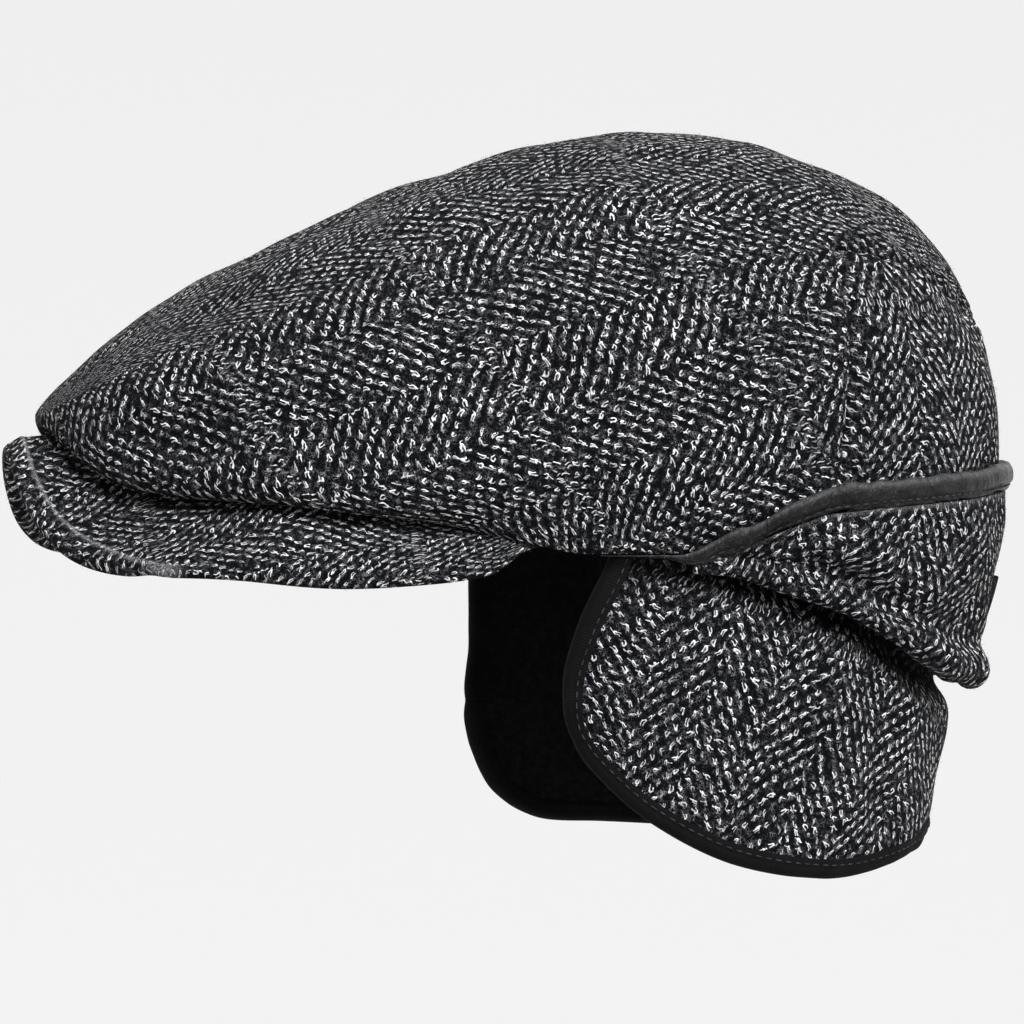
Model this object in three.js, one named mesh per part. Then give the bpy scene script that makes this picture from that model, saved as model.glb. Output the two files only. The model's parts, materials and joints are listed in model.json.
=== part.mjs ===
// A flat cap with earflaps: millimetres, +Z up, the peak towards -Y, the wearer's left towards +X.
// The origin is the middle of the head opening, level with the crown's edge at the temples.
import * as THREE from 'three';

// Crown: plans of its widest line and its lower edge, each with a front reach and a back reach.
const CLOTH = 2.5;
const SEAM_GAP = 0.3;
const REST_GAP = 1;
const WIDEST = { middle: 21, half: 97, front: 177, back: 87, power: 2.25 };
const WIDEST_Z = { front: 34.5, side: 31, back: 28 };
const RIDGE = { y: 11, z: 112, frontPower: 1.62, frontEase: 0.81, backPower: 2.2, backEase: 0.4545 };
const SECTION_POWER = 2.3;
const EDGE = { middle: 12, half: 86.5, front: 114, back: 87, power: 2.6 };
const EDGE_DROP = { from: 10, depth: 26 };

// Seam round the back panel: degrees from the front, low down and at its corner, and how high its
// upper edge lies at the corners and, drawn down by the top panel's tail, in the middle of the back.
const SEAM = { lowAngle: 106.5, cornerAngle: 111.5, rise: 0.38, middleRise: 0.15 };

// Peak: a bill arched from side to side, its crest rising slowly towards the back.
const PEAK = { thick: 4.2, front: 164, corner: -33 };
const PEAK_PLAN = { middle: -66, half: 87.5, front: 98, back: 80, power: 2.5 };
const PEAK_CREST = { z: 28.5, slope: 0.12, ease: 0.0003 };
const PEAK_RADIUS = 110;
const PEAK_FOLD = { drop: 53, width: 51, from: 12, to: 80 };

// Earflap band: how far inside the crown's edge it starts, its plan lower down, and how it draws in.
const FLAP_TOP_Z = 5;
const FLAP_INSET = 3.1;
const FLAP_HANG = { depth: 55, half: 81, front: 78, back: 84.4, power: 2.2 };
const FLAP_DRAW = { from: -42, to: -88, half: 1.5, back: 9 };
const LINING = 2;
const LAYER_GAP = 0.3;
const BINDING = { width: 5.6, proud: 0.6 };

// The flaps' outlines from the front top corner towards the back.
const LEFT_OUTLINE = [
  { y: -13, z: 5 },
  { y: -16, z: -4 },
  { y: -22.5, z: -18 },
  { y: -26.5, z: -36 },
  { y: -23.5, z: -50 },
  { y: -15.5, z: -61 },
  { y: -3, z: -71.5 },
  { y: 20, z: -83 },
  { y: 50, z: -88 },
  { y: 70, z: -85.5 },
  { y: 83, z: -83 },
];
const RIGHT_OUTLINE = [
  { y: -20, z: 5 },
  { y: -22, z: -6 },
  { y: -23.5, z: -20 },
  { y: -24, z: -36 },
  { y: -25.5, z: -50 },
  { y: -23.5, z: -64 },
  { y: -17, z: -76.5 },
  { y: -4, z: -85 },
  { y: 18, z: -87 },
  { y: 55, z: -88 },
  { y: 80, z: -84 },
];
const BACK_OUTLINE_Z = -82;

// Cuff: the outer band round the back, with a soft roll at its foot. A row for each station from its tip.
const CUFF_STATIONS = [
  { y: 6, top: -1.6, foot: -5.6, swell: 0, roll: 1.7 },
  { y: 16, top: -1, foot: -6.4, swell: 0.3, roll: 2.4 },
  { y: 24, top: 4.8, foot: -8.6, swell: 0.8, roll: 3.4 },
  { y: 34, top: 9.6, foot: -12, swell: 1.6, roll: 4.4 },
  { y: 48, top: 11.2, foot: -17.5, swell: 2.6, roll: 5 },
  { y: 62, top: 12, foot: -25, swell: 2.8, roll: 5.2 },
  { y: 79, top: 13, foot: -34.5, swell: 2.2, roll: 5.2 },
  { y: 92, top: 14, foot: -38.5, swell: 1.4, roll: 5.2 },
  { y: 99, top: 14.4, foot: -40.5, swell: 0.8, roll: 5.2 },
];
const CUFF_GAP = 0.6;
const CUFF_CLOTH = 2.2;

// Leather piping on the cuff's upper edge, and the leather tab on the back of the cuff.
const PIPING = { gap: 0.4, height: 6.8, depth: 3.8, leadHeight: 2.6, leadDepth: 2.4, frontY: -18 };
const TAB = { half: 24, top: -10.5, foot: -21.5, thick: 1.4, lift: 0.4 };

const COLOURS = {
  tweed: { color: 0x47474b, roughness: 0.95, metalness: 0 },
  leather: { color: 0x36373a, roughness: 0.42, metalness: 0 },
  fleece: { color: 0x0a0a0c, roughness: 1, metalness: 0 },
  tape: { color: 0x242426, roughness: 0.9, metalness: 0 },
};

const { lerp, clamp, degToRad, radToDeg, smoothstep } = THREE.MathUtils;
const steps = (count, from, to) => Array.from({ length: count + 1 }, (_, i) => lerp(from, to, i / count));
const grid = (rows, columns, pointAt) => rows.map((row) => columns.map((column) => pointAt(column, row)));

// A point on an oval with a front reach and a back reach. Angle 0 is the front, at -Y.
function ovalPoint(angle, { middle, half, front, back, power }) {
  const s = Math.sin(angle);
  const c = Math.cos(angle);
  const size = (Math.abs(s) ** power + Math.abs(c) ** power) ** (-1 / power);
  return new THREE.Vector2(half * s * size, middle - (c > 0 ? front : back) * c * size);
}

// Degrees round from the back at which an oval has a given y, on its left side.
function degreesAt(y, { middle, front, back, power }) {
  const share = clamp((y - middle) / (y > middle ? back : front), -1, 1);
  const across = (1 - Math.abs(share) ** power) ** (1 / power);
  return radToDeg(Math.atan2(across, share));
}

// Height of the peak's upper face over the plan.
function peakHeight(x, y) {
  const back = PEAK.front + y;
  const crest = PEAK_CREST.z + PEAK_CREST.slope * back - PEAK_CREST.ease * back ** 2;
  const arch = PEAK_RADIUS - Math.sqrt(PEAK_RADIUS ** 2 - x ** 2);
  const fold = (PEAK_FOLD.drop * x ** 2) / (x ** 2 + PEAK_FOLD.width ** 2);
  return crest - lerp(fold, arch, smoothstep(back, PEAK_FOLD.from, PEAK_FOLD.to));
}

// How far a place on the crown's edge belongs to the peak: 1 in front, 0 behind the peak's corners.
const onPeakShare = (edgeY) => 1 - smoothstep(edgeY, PEAK.corner - 50, PEAK.corner + 12);
const restHeight = (x, y) => peakHeight(x, y) + REST_GAP;

// Height of the crown's lower edge: on the peak in front, level at the temples, low at the back.
function edgeHeight(angle) {
  const { x, y } = ovalPoint(angle, EDGE);
  const drop = EDGE_DROP.depth * smoothstep(y, EDGE_DROP.from, EDGE.middle + EDGE.back);
  const lift = Math.max(restHeight(x, y), 0) * (1 - smoothstep(y, PEAK.corner, PEAK.corner + 14));
  return lift - drop;
}

function widestHeight(y) {
  const nose = smoothstep(-y, 40, WIDEST.front - WIDEST.middle);
  const back = smoothstep(y, 20, WIDEST.middle + WIDEST.back);
  return WIDEST_Z.side + (WIDEST_Z.front - WIDEST_Z.side) * nose + (WIDEST_Z.back - WIDEST_Z.side) * back;
}

// Share of the ridge's full height, along the middle of the cap.
function ridgeShare(y) {
  const ahead = y < RIDGE.y;
  const end = ahead ? WIDEST.middle - WIDEST.front : WIDEST.middle + WIDEST.back;
  const power = ahead ? RIDGE.frontPower : RIDGE.backPower;
  const ease = ahead ? RIDGE.frontEase : RIDGE.backEase;
  const away = clamp((y - RIDGE.y) / (end - RIDGE.y), 0, 1);
  return (1 - away ** power) ** ease;
}

// The crown's outer face. rise runs from -1 at the lower edge, by 0 at the widest line, to 1 at the top.
function crownPoint(angle, rise) {
  const plan = ovalPoint(angle, WIDEST);
  if (rise >= 0) {
    const share = Math.cos((rise * Math.PI) / 2) ** 0.9;
    const x = plan.x * share;
    const y = lerp(RIDGE.y, plan.y, share);
    const reach = y < WIDEST.middle ? WIDEST.front : WIDEST.back;
    const narrowing = 1 - (Math.abs(y - WIDEST.middle) / reach) ** WIDEST.power;
    const half = WIDEST.half * Math.max(narrowing, 1e-9) ** (1 / WIDEST.power);
    const across = clamp(Math.abs(x) / half, 0, 1);
    const section = (1 - across ** SECTION_POWER) ** (1 / SECTION_POWER);
    const base = widestHeight(y);
    return new THREE.Vector3(x, y, base + (RIDGE.z - base) * ridgeShare(y) * section);
  }
  const edge = ovalPoint(angle, EDGE);
  const up = 1 + rise;
  const out = Math.sin((up * Math.PI) / 2);
  const x = lerp(edge.x, plan.x, out);
  const y = lerp(edge.y, plan.y, out);
  const top = widestHeight(plan.y);
  // Behind the temples the wall climbs evenly. In front it lies on the peak and turns up at the nose.
  const wallZ = lerp(edgeHeight(angle), top, up);
  const peakZ = lerp(restHeight(x, y), top, 1 - Math.sqrt(1 - up ** 2.6));
  return new THREE.Vector3(x, y, lerp(wallZ, peakZ, onPeakShare(edge.y)));
}

// The crown's inner face, one cloth's thickness behind the outer one.
function crownInner(angle, rise) {
  if (rise > 0.985) return crownPoint(angle, 1).add(new THREE.Vector3(0, 0, -CLOTH));
  const round = crownPoint(angle + 0.01, rise).sub(crownPoint(angle - 0.01, rise));
  const up = crownPoint(angle, Math.min(rise + 0.01, 0.99)).sub(crownPoint(angle, Math.max(rise - 0.01, -1)));
  return crownPoint(angle, rise).addScaledVector(round.cross(up).normalize(), -CLOTH);
}

// Plan of the band at a height. At the top it lies inside the crown's edge, lower down it hangs freely.
function flapPlan(z) {
  const down = clamp((FLAP_TOP_Z - z) / FLAP_HANG.depth, 0, 1);
  const draw = clamp((FLAP_DRAW.from - z) / (FLAP_DRAW.from - FLAP_DRAW.to), 0, 1) ** 2;
  return {
    middle: EDGE.middle,
    half: lerp(EDGE.half - FLAP_INSET, FLAP_HANG.half, down) - FLAP_DRAW.half * draw,
    front: lerp(EDGE.front - FLAP_INSET, FLAP_HANG.front, down),
    back: lerp(EDGE.back - FLAP_INSET, FLAP_HANG.back, down) - FLAP_DRAW.back * draw,
    power: lerp(EDGE.power, FLAP_HANG.power, down),
  };
}

// The band's outer face: degrees round from the back, positive on the wearer's left, and height.
function flapPoint(degrees, z) {
  const { x, y } = ovalPoint(Math.PI - degToRad(degrees), flapPlan(z));
  return new THREE.Vector3(x, y, z);
}

function flapNormal(degrees, z) {
  const step = 0.5;
  const round = flapPoint(degrees + step, z).sub(flapPoint(degrees - step, z));
  const up = flapPoint(degrees, z + step).sub(flapPoint(degrees, z - step));
  return up.cross(round).normalize();
}

const onFlap = (degrees, z, out) => flapPoint(degrees, z).addScaledVector(flapNormal(degrees, z), out);

// The whole outline of the flaps, from the left front corner, under the back, to the right one.
const outlineRow = (side) => ({ y, z }) => new THREE.Vector3(side * degreesAt(y, flapPlan(z)), z, 0);
const outlineCurve = new THREE.CatmullRomCurve3(
  [
    ...LEFT_OUTLINE.map(outlineRow(1)),
    new THREE.Vector3(0, BACK_OUTLINE_Z, 0),
    ...RIGHT_OUTLINE.map(outlineRow(-1)).reverse(),
  ],
  false,
  'centripetal',
);

// Shares of the outline at which the band, its lining and the binding all have a line of points.
const OUTLINE_STEPS = [...steps(28, 0, 0.4), ...steps(10, 0.4, 0.6).slice(1, -1), ...steps(28, 0.6, 1)];

// A point on the outline, drawn in from it by a distance along the cloth.
function outlinePoint(along, inset) {
  const here = outlineCurve.getPoint(along);
  const before = outlineCurve.getPoint(Math.max(along - 0.002, 0));
  const after = outlineCurve.getPoint(Math.min(along + 0.002, 1));
  const tangent = flapPoint(after.x, after.y).sub(flapPoint(before.x, before.y)).normalize();
  const inward = flapNormal(here.x, here.y).cross(tangent);
  const perDegree = flapPoint(here.x + 0.5, here.y).sub(flapPoint(here.x - 0.5, here.y));
  const turn = inward.dot(perDegree) / perDegree.lengthSq();
  return new THREE.Vector2(here.x + turn * inset, here.y + inward.z * inset);
}

// Closes two grids of points, outer and inner, into one wall. keep(row, column) leaves out what it rejects.
function wallGeometry(outer, inner, { around = false, pole = false, keep = () => true } = {}) {
  const quadRows = outer.length - 1;
  const columns = outer[0].length;
  const quadColumns = around ? columns : columns - 1;
  const positions = [];
  const indices = [];
  const numbers = new Map();
  const index = (side, row, column) => {
    const place = pole && row === quadRows ? 0 : column % columns;
    const key = `${side}:${row}:${place}`;
    if (!numbers.has(key)) {
      numbers.set(key, positions.length / 3);
      positions.push(...(side ? inner : outer)[row][place].toArray());
    }
    return numbers.get(key);
  };
  const face = (...corners) => {
    const ring = corners.filter((corner, i) => corner !== corners[(i + 1) % corners.length]);
    for (let i = 2; i < ring.length; i += 1) indices.push(ring[0], ring[i - 1], ring[i]);
  };
  const held = (row, column) => {
    if (row < 0 || row >= quadRows) return false;
    const place = around ? (column + quadColumns) % quadColumns : column;
    return place >= 0 && place < quadColumns && keep(row, place);
  };
  for (let r = 0; r < quadRows; r += 1) {
    for (let c = 0; c < quadColumns; c += 1) {
      if (!held(r, c)) continue;
      face(index(0, r, c), index(0, r, c + 1), index(0, r + 1, c + 1), index(0, r + 1, c));
      face(index(1, r, c), index(1, r + 1, c), index(1, r + 1, c + 1), index(1, r, c + 1));
      const rim = (ra, ca, rb, cb) => face(index(0, ra, ca), index(1, ra, ca), index(1, rb, cb), index(0, rb, cb));
      if (!held(r - 1, c)) rim(r, c, r, c + 1);
      if (!held(r + 1, c) && !(pole && r === quadRows - 1)) rim(r + 1, c + 1, r + 1, c);
      if (!held(r, c - 1)) rim(r + 1, c, r, c);
      if (!held(r, c + 1)) rim(r, c + 1, r + 1, c + 1);
    }
  }
  return closedGeometry(positions, indices);
}

// Closed loops of points, one after the other, with a fan over each end.
function tubeGeometry(loops) {
  const size = loops[0].length;
  const indices = [];
  for (let i = 0; i + 1 < loops.length; i += 1) {
    for (let j = 0; j < size; j += 1) {
      const a = i * size + j;
      const b = i * size + ((j + 1) % size);
      indices.push(a, b, b + size, a, b + size, a + size);
    }
  }
  const last = (loops.length - 1) * size;
  for (let j = 2; j < size; j += 1) indices.push(0, j, j - 1, last, last + j - 1, last + j);
  return closedGeometry(loops.flat().flatMap((point) => point.toArray()), indices);
}

function closedGeometry(positions, indices) {
  const geometry = new THREE.BufferGeometry();
  geometry.setAttribute('position', new THREE.Float32BufferAttribute(positions, 3));
  geometry.setIndex(indices);
  geometry.computeVertexNormals();
  return geometry;
}

function part(name, finish, geometry) {
  const mesh = new THREE.Mesh(geometry, new THREE.MeshStandardMaterial(COLOURS[finish]));
  mesh.name = name;
  return mesh;
}

function crownPanels() {
  const rows = [-1, -0.8, -0.55, -0.3, -0.12, -0.03, 0.07, 0.17, 0.27, SEAM.rise, 0.5, 0.61, 0.72, 0.82, 0.91, 1];
  const seamRow = rows.indexOf(SEAM.rise);
  const seamAt = (rise) => degToRad(lerp(SEAM.lowAngle, SEAM.cornerAngle, clamp(rise / SEAM.rise, 0, 1)));
  // Rows sink towards the middle of the back, with the upper edge of the back panel.
  const sunk = (column, row) => {
    const side = clamp(Math.abs(2 * column - 3), 0, 1);
    const seam = lerp(SEAM.middleRise, SEAM.rise, Math.sin((side * Math.PI) / 2) ** 1.5);
    if (row <= 0) return row;
    return row <= SEAM.rise ? (row / SEAM.rise) * seam : lerp(seam, 1, (row - SEAM.rise) / (1 - SEAM.rise));
  };
  // A column is a share of the side panel up to 1, then of the back panel up to 2, then of the far side.
  const angleAt = (column, rise) => {
    const seam = seamAt(rise);
    if (column <= 1) return column * seam;
    if (column <= 2) return lerp(seam, 2 * Math.PI - seam, column - 1);
    return 2 * Math.PI - (3 - column) * seam;
  };
  const columns = [...steps(18, 0, 1), ...steps(14, 1, 2).slice(1), ...steps(18, 2, 3).slice(1, -1)];
  const inBack = (row, column) => row < seamRow && column >= 18 && column < 32;
  const options = { around: true, pole: true, keep: (row, column) => !inBack(row, column) };
  const onTop = (pointOf) =>
    grid(rows, columns, (column, row) => pointOf(angleAt(column, row), sunk(column, row)));
  const top = wallGeometry(onTop(crownPoint), onTop(crownInner), options);

  const backRows = [...rows.slice(0, seamRow), SEAM.rise - SEAM_GAP / 60];
  const clear = SEAM_GAP / WIDEST.half;
  const backAngle = (share, row) => lerp(seamAt(row) + clear, 2 * Math.PI - seamAt(row) - clear, share);
  const onBack = (pointOf) =>
    grid(backRows, steps(14, 0, 1), (share, row) => pointOf(backAngle(share, row), sunk(1 + share, row)));
  const back = wallGeometry(onBack(crownPoint), onBack(crownInner));
  return [part('crown_top_panel', 'tweed', top), part('crown_back_panel', 'tweed', back)];
}

// The peak runs from inside the crown's edge out to its own curved rim.
function peak() {
  const cornerY = PEAK.corner - 2;
  const rimAngle = Math.PI - degToRad(degreesAt(PEAK.corner, PEAK_PLAN));
  const innerAngle = Math.PI - degToRad(degreesAt(cornerY, EDGE));
  const innerPlan = { ...EDGE, half: EDGE.half - CLOTH, front: EDGE.front - CLOTH };
  const planAt = (side, out) =>
    ovalPoint(side * innerAngle, innerPlan).lerp(ovalPoint(side * rimAngle, PEAK_PLAN), out);
  const face = (depth, ease) => (side, out) => {
    const rounding = smoothstep(out, 0.82, 1);
    const { x, y } = planAt(side, out - 0.02 * rounding * ease);
    const slopeX = peakHeight(x + 0.5, y) - peakHeight(x - 0.5, y);
    const slopeY = peakHeight(x, y + 0.5) - peakHeight(x, y - 0.5);
    const normal = new THREE.Vector3(-slopeX, -slopeY, 1).normalize();
    const sunk = -depth + (depth ? 1 : -1) * rounding;
    return new THREE.Vector3(x, y, peakHeight(x, y)).addScaledVector(normal, sunk);
  };
  const columns = steps(36, -1, 1);
  const rows = [1, 0.88, 0.72, 0.5, 0.25, 0];
  const upper = grid(rows, columns, face(0, 0));
  return part('peak', 'tweed', wallGeometry(upper, grid(rows, columns, face(PEAK.thick, 1))));
}

function flapLayer(name, finish, from, to) {
  const rows = [1, 0.8, 0.58, 0.36, 0.16, 0];
  const corner = outlineCurve.getPoint(0).x;
  const face = (out) => (along, down) => {
    const low = outlinePoint(along, BINDING.width + LAYER_GAP);
    const top = lerp(low.x * 0.86, lerp(corner, -corner, along), 0.4);
    return onFlap(lerp(top, low.x, down), lerp(FLAP_TOP_Z, low.y, down), out);
  };
  return part(name, finish, wallGeometry(grid(rows, OUTLINE_STEPS, face(from)), grid(rows, OUTLINE_STEPS, face(to))));
}

// The tape wraps the free edge of the band and its lining.
function flapBinding() {
  const inside = -(CLOTH + LAYER_GAP + LINING + BINDING.proud);
  const section = [
    { inset: 0, out: inside / 2 + 1 },
    { inset: 0, out: inside / 2 - 1 },
    { inset: 1, out: inside },
    { inset: BINDING.width, out: inside },
    { inset: BINDING.width, out: BINDING.proud },
    { inset: 1, out: BINDING.proud },
  ];
  const loops = OUTLINE_STEPS.map((along) =>
    section.map(({ inset, out }) => {
      const place = outlinePoint(along, inset);
      return onFlap(place.x, place.y, out);
    }),
  );
  return part('flap_binding', 'tape', tubeGeometry(loops));
}

// The cuff's values at an angle from the back, the same on both sides.
const cuffRows = CUFF_STATIONS.map((row) => ({ ...row, degrees: degreesAt(row.y, EDGE) }));
function cuffAt(degrees) {
  const away = clamp(Math.abs(degrees), 0, cuffRows[0].degrees);
  const i = clamp(cuffRows.findIndex((row) => row.degrees <= away), 1, cuffRows.length - 1);
  const [a, b] = [cuffRows[i - 1], cuffRows[i]];
  const t = (a.degrees - away) / (a.degrees - b.degrees);
  const value = (key) => lerp(a[key], b[key], t);
  return { top: value('top'), foot: value('foot'), swell: value('swell'), roll: value('roll') };
}

// A point beside the crown's wall: degrees round from the back, height, distance out.
function beside(degrees, z, out) {
  const angle = Math.PI - degToRad(degrees);
  const edgeZ = edgeHeight(angle);
  const up = clamp((z - edgeZ) / (widestHeight(ovalPoint(angle, WIDEST).y) - edgeZ), 0, 1);
  const here = crownPoint(angle, up - 1);
  const round = crownPoint(angle + 0.01, up - 1).sub(crownPoint(angle - 0.01, up - 1)).setZ(0).normalize();
  return new THREE.Vector3(here.x + round.y * out, here.y - round.x * out, z);
}

// The cuff in section, as heights and distances out: down its face, round the roll and up inside.
function cuffSection(degrees) {
  const { top, foot, swell, roll } = cuffAt(degrees);
  const cloth = Math.min(CUFF_CLOTH, 0.42 * roll);
  const face = CUFF_GAP + cloth;
  const crease = foot + 2.1 * roll;
  const line = [
    [top, face],
    [lerp(top, crease, 0.3), face + swell * 0.7],
    [lerp(top, crease, 0.6), face + swell],
    [lerp(top, crease, 0.85), face + swell * 0.6],
    [crease, face],
    [foot + roll * 1.3, face + roll * 0.2],
    [foot + roll * 0.6, face + roll * 0.22],
    [foot + roll * 0.15, face - roll * 0.15],
    [foot, face - roll * 0.5],
    [foot + roll * 0.25, face - roll * 0.85],
    [foot + roll * 0.6, face - roll],
  ];
  return { line, cloth };
}

function cuff() {
  const columns = steps(52, cuffRows[0].degrees, -cuffRows[0].degrees);
  const outer = columns.map((degrees) => cuffSection(degrees).line.map(([z, out]) => beside(degrees, z, out)));
  const inner = columns.map((degrees) => {
    const { line, cloth } = cuffSection(degrees);
    return line.map(([z, out], i) => {
      const [zBefore, outBefore] = line[Math.max(i - 1, 0)];
      const [zAfter, outAfter] = line[Math.min(i + 1, line.length - 1)];
      const length = Math.hypot(zAfter - zBefore, outAfter - outBefore);
      const rise = ((outBefore - outAfter) / length) * cloth;
      return beside(degrees, z + rise, out + ((zAfter - zBefore) / length) * cloth);
    });
  });
  const turned = (lines) => lines[0].map((_, i) => lines.map((line) => line[i])).reverse();
  return part('cuff', 'tweed', wallGeometry(turned(outer), turned(inner)));
}

function piping() {
  const tip = cuffRows[0].degrees;
  const end = degreesAt(PIPING.frontY, EDGE);
  const near = steps(12, end, tip - 3);
  const far = near.map((degrees) => -degrees).reverse();
  const columns = [...near, ...steps(54, tip - 3, 3 - tip).slice(1, -1), ...far];
  const loops = columns.map((degrees) => {
    // Ahead of the cuff the piping drops, thins out and runs on under the crown's edge.
    const drop = smoothstep(Math.abs(degrees), tip, tip + 2);
    const tuck = smoothstep(Math.abs(degrees), tip + 1.8, tip + 4.5);
    const height = lerp(PIPING.height, PIPING.leadHeight, drop);
    const depth = lerp(PIPING.depth, PIPING.leadDepth, drop);
    const middle = lerp(cuffAt(degrees).top + PIPING.gap + height / 2, -0.6 - height / 2, drop);
    const out = lerp(CUFF_GAP + depth / 2, -0.4, tuck);
    return steps(8, 2 * Math.PI, 0).slice(1).map((turn) => {
      const squared = (value) => Math.sign(value) * Math.abs(value) ** 0.7;
      const z = middle + (height / 2) * squared(Math.sin(turn));
      return beside(degrees, z, out + (depth / 2) * squared(Math.cos(turn)));
    });
  });
  return part('cuff_piping', 'leather', tubeGeometry(loops));
}

// The tab lies on the middle of the cuff's back and follows its face.
function backTab() {
  const reach = radToDeg(Math.atan2(TAB.half, EDGE.back));
  const lineOut = (degrees, z) => {
    const { line } = cuffSection(degrees);
    const i = clamp(line.findIndex(([height]) => height < z), 1, line.length - 1);
    const [[zAbove, outAbove], [zBelow, outBelow]] = [line[i - 1], line[i]];
    return lerp(outAbove, outBelow, (zAbove - z) / (zAbove - zBelow));
  };
  const face = (lift) => (degrees, z) => beside(degrees, z, lineOut(degrees, z) + lift);
  const columns = steps(10, reach, -reach);
  const rows = steps(4, TAB.foot, TAB.top);
  const outer = grid(rows, columns, face(TAB.lift + TAB.thick));
  return part('back_tab', 'leather', wallGeometry(outer, grid(rows, columns, face(TAB.lift))));
}

const cap = new THREE.Group();
cap.add(
  ...crownPanels(),
  peak(),
  cuff(),
  piping(),
  backTab(),
  flapLayer('earflap_band', 'tweed', 0, -CLOTH),
  flapLayer('flap_lining', 'fleece', -CLOTH - LAYER_GAP, -CLOTH - LAYER_GAP - LINING),
  flapBinding(),
);
export default cap;
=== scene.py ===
"""Dresses the flat cap with earflaps in tweed, leather, fleece and tape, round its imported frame.

Shapes are worked out in millimetres, +Z up, the peak towards -Y, and made in metres.
"""

from __future__ import annotations

import json
import logging
import math
from dataclasses import dataclass, field, replace
from enum import Enum
from typing import Any, Sequence

import bmesh
import bpy
import numpy as np
from mathutils import Matrix, Vector

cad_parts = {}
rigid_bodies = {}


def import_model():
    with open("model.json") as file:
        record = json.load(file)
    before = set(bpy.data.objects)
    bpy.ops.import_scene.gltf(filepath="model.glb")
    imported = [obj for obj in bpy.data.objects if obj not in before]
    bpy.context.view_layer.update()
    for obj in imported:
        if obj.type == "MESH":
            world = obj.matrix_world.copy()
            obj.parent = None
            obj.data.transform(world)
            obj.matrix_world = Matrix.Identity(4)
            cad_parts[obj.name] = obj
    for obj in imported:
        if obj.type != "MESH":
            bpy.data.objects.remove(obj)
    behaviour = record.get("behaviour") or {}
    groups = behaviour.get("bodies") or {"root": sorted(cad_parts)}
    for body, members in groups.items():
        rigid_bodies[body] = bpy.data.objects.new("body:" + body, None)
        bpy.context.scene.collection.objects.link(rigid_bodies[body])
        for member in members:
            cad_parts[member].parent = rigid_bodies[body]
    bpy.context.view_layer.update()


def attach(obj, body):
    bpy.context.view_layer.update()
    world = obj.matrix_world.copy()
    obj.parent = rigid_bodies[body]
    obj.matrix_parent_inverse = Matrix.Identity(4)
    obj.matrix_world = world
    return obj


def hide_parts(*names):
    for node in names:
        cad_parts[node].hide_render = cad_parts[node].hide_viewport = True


log = logging.getLogger("cap")
Array = np.ndarray
MM = 0.001
TURN = 6.283  # radians all the way round
WEAVE_SCALE = 0.01  # the cloth's own millimetres, as they are kept in a UV map


# Numbers


def lerp(start: Any, end: Any, share: Any) -> Any:
    """Goes from start to end by a share."""
    return start + (end - start) * share


def smoothstep(value: Any, low: float, high: float) -> Array:
    """Eases from 0 at low to 1 at high."""
    share = np.clip((np.asarray(value, float) - low) / (high - low), 0, 1)
    return share * share * (3 - 2 * share)


def unit(vectors: Array) -> Array:
    """Vectors at length 1."""
    return vectors / np.maximum(np.linalg.norm(vectors, axis=-1, keepdims=True), 1e-12)


def between(start: Any, end: Any, low: float, high: float, at: Array) -> Array:
    """Goes from start at low to end at high, and gives what is at the places asked for."""
    return (high - at) / (high - low) * start + (at - low) / (high - low) * end


def lengths_along(points: Array, axis: int = 0) -> Array:
    """Lengths run along one axis of a row or a grid of points.

    Args:
        points: any shape by 2 or 3.
        axis: the axis to follow.

    Returns:
        Lengths from 0 at the start, in the shape of points less its last axis.
    """
    steps = np.cumsum(np.linalg.norm(np.diff(points, axis=axis), axis=-1), axis=axis)
    return np.pad(steps, [(int(i == axis), 0) for i in range(steps.ndim)])


def surface_normals(points: Array, around: bool = False) -> Array:
    """Normals of a grid of points, columns running so that row x column points outwards.

    Args:
        points: rows by columns by 3.
        around: whether the last column meets the first.

    Returns:
        Unit normals, as many as points.
    """
    along = np.gradient(points, axis=0)
    if around:
        across = (np.roll(points, -1, axis=1) - np.roll(points, 1, axis=1)) / 2
    else:
        across = np.gradient(points, axis=1)
    return unit(np.cross(across, along))


def nearest_on_path(points: Array, path: Array) -> tuple[Array, Array]:
    """Distance from each point to a path, and how far along the path that is.

    Args:
        points: any shape by 2 or 3.
        path: the path's points, in order.

    Returns:
        Distances and lengths along, in the shape of points less its last axis.
    """
    flat = points.reshape(-1, points.shape[-1])
    run = lengths_along(path)
    best = np.full(len(flat), 1e9)
    along = np.zeros(len(flat))
    for start, end, begun in zip(path[:-1], path[1:], run[:-1]):
        step = end - start
        length = float(np.linalg.norm(step))
        if length < 1e-9:
            continue
        share = np.clip((flat - start) @ step / length**2, 0, 1)
        distance = np.linalg.norm(flat - start - share[:, None] * step, axis=1)
        closer = distance < best
        best[closer] = distance[closer]
        along[closer] = begun + share[closer] * length
    shape = points.shape[:-1]
    return best.reshape(shape), along.reshape(shape)


def smooth_curve(knots: Sequence[Sequence[float]], count: int) -> Array:
    """Evenly spaced points on a smooth curve through knots.

    Args:
        knots: the points that it passes.
        count: how many points to give.

    Returns:
        count points.
    """
    p = np.asarray(knots, float)
    p = np.vstack([2 * p[0] - p[1], p, 2 * p[-1] - p[-2]])
    found = []
    for i in range(1, len(p) - 2):
        t = np.linspace(0, 1, 24, endpoint=False)[:, None]
        a, b, c, d = p[i - 1], p[i], p[i + 1], p[i + 2]
        found.append(
            0.5 * (2 * b + (c - a) * t + (2 * a - 5 * b + 4 * c - d) * t**2 + (3 * b - a - 3 * c + d) * t**3)
        )
    dense = np.vstack([*found, p[-2][None]])
    run = lengths_along(dense)
    at = np.linspace(0, run[-1], count)
    return np.stack([np.interp(at, run, dense[:, k]) for k in range(dense.shape[1])], axis=1)


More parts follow.
